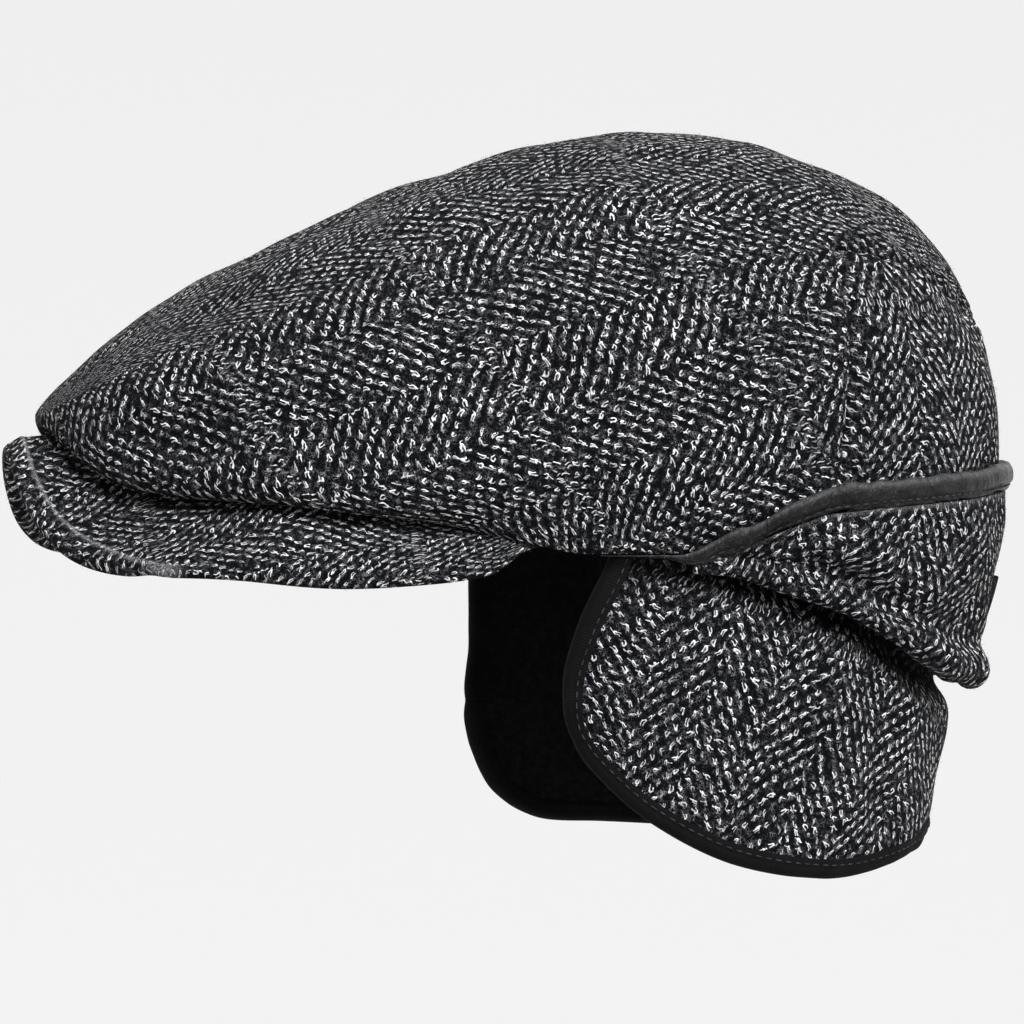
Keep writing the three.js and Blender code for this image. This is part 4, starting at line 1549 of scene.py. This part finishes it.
    def build(self) -> None:
        """Makes both panels and their loose wool."""
        form, materials = self.shop.form, self.shop.materials
        n, m = self.side_columns, self.back_columns
        columns = np.concatenate(
            [np.linspace(0, 1, n + 1), np.linspace(1, 2, m + 1)[1:], np.linspace(2, 3, n + 1)[1:-1]]
        )
        rows = self.rows()
        column, row = np.meshgrid(columns, rows)
        angle, rise = self.place(column, row)
        smooth = form.crown(angle, rise)
        seam_row = int(np.abs(rows - form.seam_rise).argmin())
        keep = np.ones((len(rows) - 1, len(columns)), bool)
        keep[:seam_row, n : n + m] = False
        weave = self.flat_cloth(smooth, angle, rise)
        points = self.worked(smooth, True)
        cloths = [materials.tweed, materials.fleece]
        top = Wall(points, weave, form.cloth, True, True, keep, round_first=True).build("crown_top", cloths)
        self.shop.finish(top, "tweed", "crown_top_panel")
        self.shop.declare(top, weave, points, "stretched", ["peak_bill"], keep)

        share, row = np.meshgrid(np.linspace(0, 1, m + 1), rows[: seam_row + 1])
        clear = self.seam_gap / form.widest.half
        row = np.where(row >= form.seam_rise, form.seam_rise - self.seam_gap / 60, row)
        seam = form.seam_angle(row) + clear
        angle = lerp(seam, 2 * math.pi - seam, share)
        _, rise = self.place(1 + share, row)
        smooth = form.crown(angle, rise)
        run = lengths_along(smooth, 1)
        run = run - run[:, m // 2 : m // 2 + 1]
        weave = np.stack([4.0 - run, smooth[..., 2] * 1.04], -1)
        points = self.worked(smooth, False)
        back = Wall(points, weave, form.cloth, round_first=True).build("crown_back", cloths)
        self.shop.finish(back, "tweed", "crown_back_panel")
        self.shop.declare(back, weave, points, "stretched")
        self.shop.grow_wool("crown_top_wool", top, 5)
        self.shop.grow_wool("crown_back_wool", back, 25)


@dataclass
class Peak:
    """The bill: tweed over a stiff insert, with a sewn edge."""

    shop: Workshop
    thick: float = 4.2
    thick_at_corner: float = 2.0
    seam_in: float = 3.8
    seam_height: float = 0.35
    rim_roll: float = 1.4
    columns: int = 220
    rows: int = 46
    rim_rows: int = 26
    relief: tuple[Relief, ...] = (Relief(30, 0.3, 21), Relief(11, 0.12, 22))

    def build(self) -> None:
        """Makes the bill and its loose wool."""
        form, materials = self.shop.form, self.shop.materials
        rim_angle = math.pi - math.radians(float(form.peak_plan.degrees_at(form.peak_corner)))
        inner_angle = math.pi - math.radians(float(form.edge.degrees_at(form.peak_corner - 2)))
        inner_plan = replace(form.edge, half=form.edge.half - form.cloth, front=form.edge.front - form.cloth)
        steps = np.concatenate([np.linspace(0, 0.9, self.rows), np.linspace(0.9, 1, self.rim_rows)[1:]])
        side, out = np.meshgrid(np.linspace(-1, 1, self.columns), steps)
        inner_x, inner_y = inner_plan.point(side * inner_angle)
        rim_x, rim_y = form.peak_plan.point(side * rim_angle)
        short = 1 - 0.8 * smoothstep(np.abs(side), 0.9, 1.0) ** 1.6
        x, y = lerp(inner_x, rim_x, out * short), lerp(inner_y, rim_y, out * short)
        smooth = np.stack([x, y, form.peak_height(x, y)], -1)
        normals = surface_normals(smooth)
        normals *= np.sign(normals[..., 2:3].mean())
        to_rim = np.linalg.norm(smooth - smooth[-1:], axis=-1)
        line = self.seam_in * smoothstep(-smooth[-1:, :, 1], 128, 152)
        shift = -self.rim_roll * np.exp(-((to_rim / 2.0) ** 2))
        shift = shift + self.seam_height * np.exp(-(((to_rim - line) / 0.8) ** 2))
        free = smoothstep(to_rim, 0, 8)
        for relief in self.relief:
            shift = shift + relief.at(smooth) * free
        points = smooth + normals * shift[..., None]
        run = lengths_along(smooth, 1)
        across = run - run[:, self.columns // 2 : self.columns // 2 + 1]
        weave = np.stack([-lerp(across, x * 1.15, 0.6), y * 1.02], -1)
        # A pale line along the sewn seam near the rim: partly wear along the stitches, partly a painted
        # highlight where the edge catches the light.
        wear_and_highlight = 1.5 * np.exp(-(((to_rim - line) / 0.5) ** 2)) * smoothstep(-smooth[..., 1], 124, 132)
        thick = lerp(self.thick, self.thick_at_corner, smoothstep(np.abs(side[0]), 0.3, 0.85))
        bill = Wall(points[::-1], weave[::-1], thick, round_first=True, marks={"wear_and_highlight": wear_and_highlight[::-1]})
        peak = bill.build("peak_bill", [materials.tweed])
        self.shop.finish(peak, "tweed", "peak")
        self.shop.grow_wool("peak_wool", peak, 45)


@dataclass
class Cuff:
    """The turned-up band round the back, its leather piping and the leather tab."""

    shop: Workshop
    columns: int = 300
    section_points: int = 56
    piping_columns: tuple[int, int] = (90, 520)
    piping_points: int = 28
    piping_girth: float = 18
    bunch_y: float = 33
    bunch_reach: float = 12
    roll_cloth: float = 0.42
    weave_turn: float = 70
    weave_lean: float = 14
    weave_start: float = 6
    piping_gap: float = 0.4
    piping_height: float = 7.3
    piping_depth: float = 3.8
    lead_height: float = 1.5
    lead_depth: float = 1.8
    lead_y: float = -18
    tab_half: float = 24
    tab_top: float = -10.5
    tab_foot: float = -21.5
    tab_thick: float = 1.4
    relief: tuple[Relief, ...] = (Relief(34, 0.5, 31), Relief(13, 0.18, 32))
    folds: tuple[Fold, ...] = (
        Fold(((31, -3), (45, -8), (58, -15), (72, -24)), 1.6, 4.0),
        Fold(((36, 4), (52, -2), (68, -9), (84, -16)), -0.9, 4.5),
        Fold(((60, 4), (74, 0), (88, -6)), 0.8, 4.0),
        Fold(((35, -3), (50, -9), (66, -18), (78, -26)), 1.2, 4.5, -1),
    )

    def section(self, degrees: Array) -> tuple[Array, Array]:
        """The cuff's outer line at each place round the back.

        Args:
            degrees: the places.

        Returns:
            Heights and distances out, places by section_points.
        """
        form = self.shop.form
        top, foot, swell, roll = (form.cuff_value(degrees, name) for name in ("top", "foot", "swell", "roll"))
        cloth = np.minimum(form.cuff_cloth, self.roll_cloth * roll)
        face = form.cuff_gap + cloth
        crease = foot + 2.1 * roll
        knots = [
            (top, face),
            (lerp(top, crease, 0.3), face + swell * 0.7),
            (lerp(top, crease, 0.6), face + swell),
            (lerp(top, crease, 0.85), face + swell * 0.45),
            (crease, face - roll * 0.12),
            (foot + roll * 1.3, face + roll * 0.32),
            (foot + roll * 0.65, face + roll * 0.42),
            (foot + roll * 0.12, face + roll * 0.02),
            (foot, face - roll * 0.5),
            (foot + roll * 0.25, face - roll * 0.85),
            (foot + roll * 0.6, face - roll),
        ]
        lines = np.stack([np.stack([z, out], -1) for z, out in knots], axis=1)
        made = np.stack([smooth_curve(line, self.section_points) for line in lines])
        return made[..., 0], made[..., 1]

    def band(self) -> None:
        """Makes the turned-up band."""
        form, materials = self.shop.form, self.shop.materials
        degrees = np.linspace(form.cuff_tip, -form.cuff_tip, self.columns)
        z, out = self.section(degrees)
        smooth = form.beside(degrees[:, None], z, out).transpose(1, 0, 2)[::-1]
        normals = surface_normals(smooth)
        outwards = smooth[..., :2] - np.array([0, form.edge.middle])
        if (normals[-8, :, :2] * outwards[-8]).sum() < 0:
            normals = -normals
        tip = smoothstep(form.cuff_tip - np.abs(degrees), 1, 14)[None]
        shift = unevenness(smooth, self.relief, self.folds)
        top_edge = smoothstep(np.linalg.norm(smooth - smooth[-1:], axis=-1), 0, 5)
        points = smooth + normals * (shift * tip * top_edge)[..., None]
        run = lengths_along(smooth, 1)
        run = run - run[:, self.columns // 2 : self.columns // 2 + 1]
        down = lengths_along(smooth)
        turned = np.clip(degrees, -self.weave_turn, self.weave_turn) / self.weave_turn
        lean = np.sin(np.radians(turned * 90)) * math.radians(self.weave_lean)
        flat_u, flat_v = -run.mean(0)[None], down - down[-1:]
        cosine, sine = np.cos(lean), np.sin(lean)
        flat = [flat_u * cosine + flat_v * sine + self.weave_start, flat_v * cosine - flat_u * sine]
        weave = np.stack(flat, -1)
        # A pale line along the band's top edge: partly wear, partly a painted highlight where the edge
        # catches the light.
        wear_and_highlight = 0.8 * np.exp(-((np.linalg.norm(smooth - smooth[-1:], axis=-1) / 0.8) ** 2))
        thick = np.minimum(form.cuff_cloth, self.roll_cloth * form.cuff_value(degrees, "roll"))
        wall = Wall(points, weave, thick, round_first=True, marks={"wear_and_highlight": wear_and_highlight})
        piece = wall.build("cuff_band", [materials.tweed])
        self.shop.finish(piece, "tweed", "cuff")
        self.shop.declare(piece, weave, points, "folded", ["crown_back", "crown_top"])
        self.shop.grow_wool("cuff_wool", piece, 65)

    def piping(self) -> None:
        """Makes the leather piping and its stitches."""
        form, materials = self.shop.form, self.shop.materials
        tip = form.cuff_tip
        end = float(form.edge.degrees_at(self.lead_y))
        lead_count, count = self.piping_columns
        lead = np.linspace(end, tip - 3, lead_count)
        degrees = np.concatenate([lead, np.linspace(tip - 3, 3 - tip, count)[1:-1], -lead[::-1]])
        away = np.abs(degrees)
        drop, tuck = smoothstep(away, tip - 4.5, tip + 2.5), smoothstep(away, tip + 1.5, tip + 5.5)
        taper = smoothstep(end - away, 0, 14)
        height = lerp(self.piping_height, self.lead_height, smoothstep(away, tip - 5, tip + 4))
        height = height * lerp(0.15, 1, taper)
        depth = lerp(self.piping_depth, self.lead_depth, drop) * lerp(0.3, 1, taper)
        middle = lerp(form.cuff_value(degrees, "top") + self.piping_gap + height / 2, -0.6 - height / 2, drop)
        out = lerp(form.cuff_gap + depth / 2, -0.4, tuck)
        turn = np.linspace(2 * math.pi, 0, self.piping_points, endpoint=False)
        up, side = np.sign(np.sin(turn)) * np.abs(np.sin(turn)) ** 0.85, np.cos(turn)
        line = form.beside(degrees, middle, out)
        run = lengths_along(line)
        bunched = np.exp(-(((line[:, 1] - self.bunch_y) / self.bunch_reach) ** 2)) + 0.25
        crumple = Relief(7.5, 1.4, 41).at(np.stack([run, run * 0], -1)) * bunched
        wide = Relief(26, 1, 42).at(np.stack([run, run * 0], -1))
        keeps = 1 - drop * 0.7
        wander = (0.3 * crumple + 0.25 * wide) * keeps
        z = middle[:, None] + (height / 2)[:, None] * up[None] + wander[:, None]
        skew = np.sin(run / 3.4)[:, None] * (bunched - 0.25)[:, None] * up[None] * 0.35
        pinch = 1 - 0.42 * np.exp(-(((up + 0.62) / 0.16) ** 2))
        belly = (depth / 2)[:, None] * side[None] * np.where(side > 0, pinch, 1)[None]
        belly = belly * (1 + (0.16 * crumple * keeps)[:, None] * (side > 0)[None]) + skew * (side > 0)[None]
        loops = form.beside(degrees[:, None], z, out[:, None] + belly)
        around = np.linspace(0, self.piping_girth, self.piping_points)
        weave = np.stack(np.broadcast_arrays(run[:, None], around[None]), -1)
        made, faces, flat = tube(loops, weave)
        # Paler along the piping's upper side: partly wear, partly a painted highlight where it faces the
        # light above.
        rubbed = np.broadcast_to(np.exp(-(((up - 0.78) / 0.26) ** 2)) * (side > -0.2), loops.shape[:2])
        marks = {"wear_and_highlight": np.concatenate([rubbed.ravel(), [0, 0]])}
        piece = mesh_object("piping_leather", made, faces, flat, None, [materials.leather], marks)
        self.shop.finish(piece, "leather", "cuff_piping")
        on = np.abs(degrees) < tip - 2
        low = middle - height / 2 * 0.62
        path = form.beside(degrees, low, out + depth / 2 * 0.66)[on]
        stitches = StitchRow(1.9, 2.7, 0.5).sew("piping_stitches", path, materials.thread)
        self.shop.finish(stitches, None)

    def tab(self) -> None:
        """Makes the leather tab on the cuff's back, with stitches along its sides."""
        form, materials = self.shop.form, self.shop.materials
        reach = math.degrees(math.atan2(self.tab_half, form.edge.back))
        degrees = np.linspace(reach, -reach, 61)
        heights = np.linspace(self.tab_foot, self.tab_top, 25)
        z, out = self.section(degrees)
        lines = zip(z[:, ::-1][:, -40:], out[:, ::-1][:, -40:])
        face = np.stack([np.interp(heights, line_z, line_out) for line_z, line_out in lines], 1)
        bulge = 0.4 + self.tab_thick + 0.35
        points = form.beside(degrees[None], heights[:, None], face + bulge)
        weave = np.stack(np.broadcast_arrays(degrees[None] * 1.6, heights[:, None]), -1)
        wall = Wall(points, weave, self.tab_thick, round_first=True, round_last=True)
        self.shop.finish(wall.build("tab_leather", [materials.leather]), "leather", "back_tab")
        for name, rows in (("tab_stitches_top", -3), ("tab_stitches_foot", 2)):
            path = points[rows][3:-3] + surface_normals(points)[rows][3:-3] * 0.05
            self.shop.finish(StitchRow(1.6, 2.4, 0.4).sew(name, path, materials.thread), None)

    def build(self) -> None:
        """Makes the band, the piping and the tab."""
        self.band()
        self.piping()
        self.tab()


@dataclass
class EarflapBand:
    """The band over the ears and the nape: tweed outside, fleece inside, bound with tape."""

    shop: Workshop
    columns: int = 380
    rows: int = 84
    lining: float = 2.0
    layer_gap: float = 0.3
    binding_width: float = 5.6
    binding_proud: float = 0.6
    binding_columns: int = 620
    grain: float = 21.5
    weave_start: float = -8.8
    check_start: float = -8.0
    # How far below the cuff's foot the painted shade reaches, in millimetres.
    shelter: float = 7.0
    relief: tuple[Relief, ...] = (Relief(60, 0.8, 51), Relief(22, 0.3, 52))
    folds: tuple[Fold, ...] = (
        Fold(((56, -24), (60, -45), (62, -66), (63, -80)), 1.8, 5.5),
        Fold(((46, -24), (50, -48), (50, -74)), -0.9, 6.5),
        Fold(((52, -28), (57, -50), (60, -76)), 1.2, 6, -1),
    )

    def sway(self, degrees: Array, z: Array) -> Array:
        """How far the hanging cloth swings out from its smooth form, the same for every layer."""
        shift = unevenness(self.shop.form.flap(degrees, z), self.relief, self.folds)
        return shift * smoothstep(-z, 4, 26) - self.hollow(degrees, z)

    def hollow(self, degrees: Array, z: Array) -> Array:
        """How far the cloth lies in where it comes out from under the cuff's roll."""
        form = self.shop.form
        foot, roll = form.cuff_value(degrees, "foot"), form.cuff_value(degrees, "roll")
        below = foot + 0.3 * roll - z
        return (0.8 + 0.75 * roll) * np.exp(-((below / 5.5) ** 2)) * smoothstep(roll, 1.7, 3.0)

    def on(self, degrees: Array, z: Array, out: Any) -> Array:
        """Points on the hanging cloth at a distance out from its face."""
        form = self.shop.form
        total = self.sway(degrees, z) + out
        return form.flap(degrees, z) + form.flap_normal(degrees, z) * total[..., None]

    def places(self, outline: FlapOutline) -> tuple[Array, Array]:
        """The turn and the height of each point of a layer's grid, from the free edge up."""
        edge = outline.points(self.columns)
        low = outline.inset(edge, self.binding_width - 2.2)
        corner, along = edge[0, 0], np.linspace(0, 1, self.columns)
        top = lerp(low[:, 0] * 0.86, lerp(corner, -corner, along), 0.4)
        down = np.linspace(1, 0, self.rows)[:, None]
        return lerp(top[None], low[None, :, 0], down), lerp(self.shop.form.flap_top, low[None, :, 1], down)

    def sheltered(self) -> Array:
        """How much painted shade each point takes, from 0 to 1: full where it lies in under the cuff's roll
        or the crown's edge, standing in for the shadow there.
        """
        degrees, z = self.places(FlapOutline(self.shop.form))
        return 1 - smoothstep(self.shop.form.cuff_value(degrees, "foot") - z, -0.5, self.shelter)

    def layer(self, outline: FlapOutline, out: float) -> tuple[Array, Array]:
        """A layer's grid and its flat coordinates.

        Args:
            outline: the free edge.
            out: the layer's distance out from the band's face.

        Returns:
            Points and flat millimetres, from the free edge up.
        """
        form = self.shop.form
        degrees, z = self.places(outline)
        points = self.on(degrees, z, out)
        turns = np.linspace(-150, 150, 601)
        level = form.flap(turns, np.full_like(turns, -30.0))
        run = lengths_along(level)
        around = np.interp(degrees, turns, run - run[300])
        lean = -math.radians(self.grain) * np.sin(np.radians(np.clip(degrees / 60, -1, 1) * 90))
        u = around * np.cos(lean) - z * np.sin(lean)
        v = around * np.sin(lean) + z * np.cos(lean)
        return points, np.stack([u + self.weave_start, v + self.check_start], -1)

    def build(self) -> None:
        """Makes the tweed, the lining, the tape and the stitches."""
        form, materials = self.shop.form, self.shop.materials
        outline = FlapOutline(form)
        points, weave = self.layer(outline, 0.0)
        # The band's tweed takes painted shade where it lies in under the cuff's roll and the crown's edge.
        wall = Wall(points, weave, form.cloth, marks={"painted_shade": self.sheltered()})
        band = wall.build("flap_tweed", [materials.tweed])
        self.shop.finish(band, "tweed", "earflap_band")
        self.shop.declare(band, weave, points, "hung", ["crown_top", "crown_back"])
        self.shop.grow_wool("flap_wool", band, 85)
        points, weave = self.layer(outline, -form.cloth - self.layer_gap)
        lining = Wall(points, weave, self.lining).build("flap_fleece", [materials.fleece])
        self.shop.finish(lining, "fleece", "flap_lining")
        self.shop.declare(lining, weave, points, "hung", ["flap_tweed"])
        self.tape(outline)

    def tape(self, outline: FlapOutline) -> None:
        """Makes the tape that wraps the free edge, and its stitches."""
        form, materials = self.shop.form, self.shop.materials
        inside = -(form.cloth + self.layer_gap + self.lining + self.binding_proud)
        centre = (inside + self.binding_proud) / 2
        half = (self.binding_proud - inside) / 2
        width, proud = self.binding_width, self.binding_proud
        section = [(width, proud - 0.35), (width - 0.8, proud)]
        section += [(lerp(width - 1.6, 2.4, t), proud + 0.1 * math.sin(t * 9)) for t in np.linspace(0, 1, 6)]
        bend = np.linspace(0.2, math.pi - 0.2, 11)
        section += [(2.2 - 2.2 * math.sin(t), centre + half * math.cos(t)) for t in bend]
        section += [(lerp(2.4, width - 0.8, t), inside) for t in np.linspace(0, 1, 5)]
        section += [(width, inside + 0.35)]
        count = self.binding_columns
        edge = outline.points(count)
        along = np.linspace(0, 1, count)
        solid = form.flap(edge[:, 0], edge[:, 1])
        run = lengths_along(solid)
        ripple = Relief(9, 0.12, 61).at(np.stack([run, run * 0], -1))
        loops = []
        for inset, out in section:
            place = outline.inset(edge, inset)
            loops.append(self.on(place[:, 0], place[:, 1], out + ripple * (1 if out > centre else -1)))
        loops = np.stack(loops, axis=1)[:, ::-1]
        girth = lengths_along(loops[count // 2])
        weave = np.stack(np.broadcast_arrays(run[:, None], girth[None]), -1)
        made, faces, flat = tube(loops, weave)
        piece = mesh_object("binding_tape", made, faces, flat, None, [materials.tape])
        self.shop.finish(piece, "tape", "flap_binding")
        inner = outline.inset(edge, width - 1.5)
        keep = (along > 0.012) & (along < 0.988)
        path = self.on(inner[:, 0], inner[:, 1], self.binding_proud + 0.12 + ripple)[keep]
        self.shop.finish(StitchRow(2.0, 2.9, 0.4).sew("binding_stitches", path, materials.thread), None)


# The studio


@dataclass(frozen=True)
class Lamp:
    """A soft square light that faces the cap: its place and size in metres, its power in watts."""

    name: str
    place: tuple[float, float, float]
    size: float
    power: float

    def build(self) -> None:
        """Makes the light."""
        data = bpy.data.lights.new(self.name, "AREA")
        data.size = self.size
        data.energy = self.power
        made = linked(self.name, data)
        made.location = self.place
        made.rotation_euler = (-Vector(self.place)).to_track_quat("-Z", "Y").to_euler()
        made.visible_camera = False


@dataclass(frozen=True)
class Studio:
    """A pale floor that curves up all round, soft lights and the camera."""

    azimuth: float = 79.0
    elevation: float = 2.0
    distance: float = 1.25
    aim_right: float = 0.02444
    aim_up: float = -0.0075
    wide: float = 1024 / 3.6 * MM
    sensor: float = 36.0
    floor_z: float = -1.2
    floor_radius: float = 5.0
    floor_columns: int = 96
    lamps: tuple[Lamp, ...] = (
        Lamp("key_light", (1.7, -0.05, 1.4), 0.8, 85),
        Lamp("fill_light", (1.4, 1.5, 0.6), 1.0, 24),
        Lamp("top_light", (-0.5, 0.2, 1.7), 1.0, 9),
    )
    sky: tuple[float, float, float, float] = (0.95, 0.95, 0.96, 1)
    sky_strength: float = 0.34

    def camera(self) -> None:
        """Makes the camera."""
        a, e = math.radians(self.azimuth), math.radians(self.elevation)
        back = Vector((math.sin(a) * math.cos(e), -math.cos(a) * math.cos(e), math.sin(e)))
        right = Vector((math.cos(a), math.sin(a), 0))
        up = back.cross(right)
        data = bpy.data.cameras.new("camera")
        data.sensor_width = self.sensor
        data.lens = self.sensor * self.distance / self.wide
        data.clip_start, data.clip_end = 0.05, 50
        made = linked("camera", data)
        turn = Matrix((right, up, back)).transposed().to_4x4()
        turn.translation = back * self.distance - right * self.aim_right - up * self.aim_up
        made.matrix_world = turn
        bpy.context.scene.camera = made

    def floor(self) -> None:
        """Makes the floor, a shallow dish whose rim is out of sight."""
        ring = np.concatenate([np.linspace(0, 1, 12) ** 0.7, np.linspace(1, 1.35, 14)[1:]])
        height = np.where(ring > 0.6, (np.maximum(ring - 0.6, 0) / 0.75) ** 2 * 4.2, 0)
        turn = np.linspace(0, 2 * math.pi, self.floor_columns + 1)[:-1]
        radius = np.maximum(ring, 0.002) * self.floor_radius
        x, y = radius[:, None] * np.cos(turn), radius[:, None] * np.sin(turn)
        points = np.stack([x, y, np.broadcast_to((self.floor_z + height)[:, None], x.shape)], -1)
        index = np.arange(len(ring) * self.floor_columns).reshape(-1, self.floor_columns)
        right = np.roll(index, -1, axis=1)
        faces = np.stack([index[:-1], right[:-1], right[1:], index[1:]], -1).reshape(-1, 4)
        mesh = bpy.data.meshes.new("floor")
        mesh.from_pydata(points.reshape(-1, 3).tolist(), [], [index[0].tolist()[::-1], *faces.tolist()])
        mesh.materials.append(PlainFinish().build())
        mesh.shade_smooth()
        linked("floor", mesh)

    def build(self) -> None:
        """Makes the camera, the floor, the lights and the sky."""
        self.camera()
        self.floor()
        for lamp in self.lamps:
            lamp.build()
        world = bpy.data.worlds.new("studio")
        bpy.context.scene.world = world
        world.use_nodes = True
        graph = Graph(world.node_tree)
        world.node_tree.nodes.clear()
        sky = graph.node("ShaderNodeBackground", Color=self.sky, Strength=self.sky_strength)
        graph.node("ShaderNodeOutputWorld", Surface=sky.outputs[0])
        view = bpy.context.scene.view_settings
        view.view_transform = "Standard"
        view.look = "None"


def main() -> None:
    """Builds the cap and the studio, and logs how many pieces it has."""
    logging.basicConfig(level=logging.INFO, format="%(name)s: %(message)s")
    for thing in list(bpy.data.objects):
        bpy.data.objects.remove(thing)
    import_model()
    Studio().build()
    shop = Workshop(CapForm(), Materials())
    for part in (Crown(shop), Peak(shop), Cuff(shop), EarflapBand(shop)):
        part.build()
    log.info("%d pieces", len(shop.pieces))


if __name__ == "__main__":
    main()
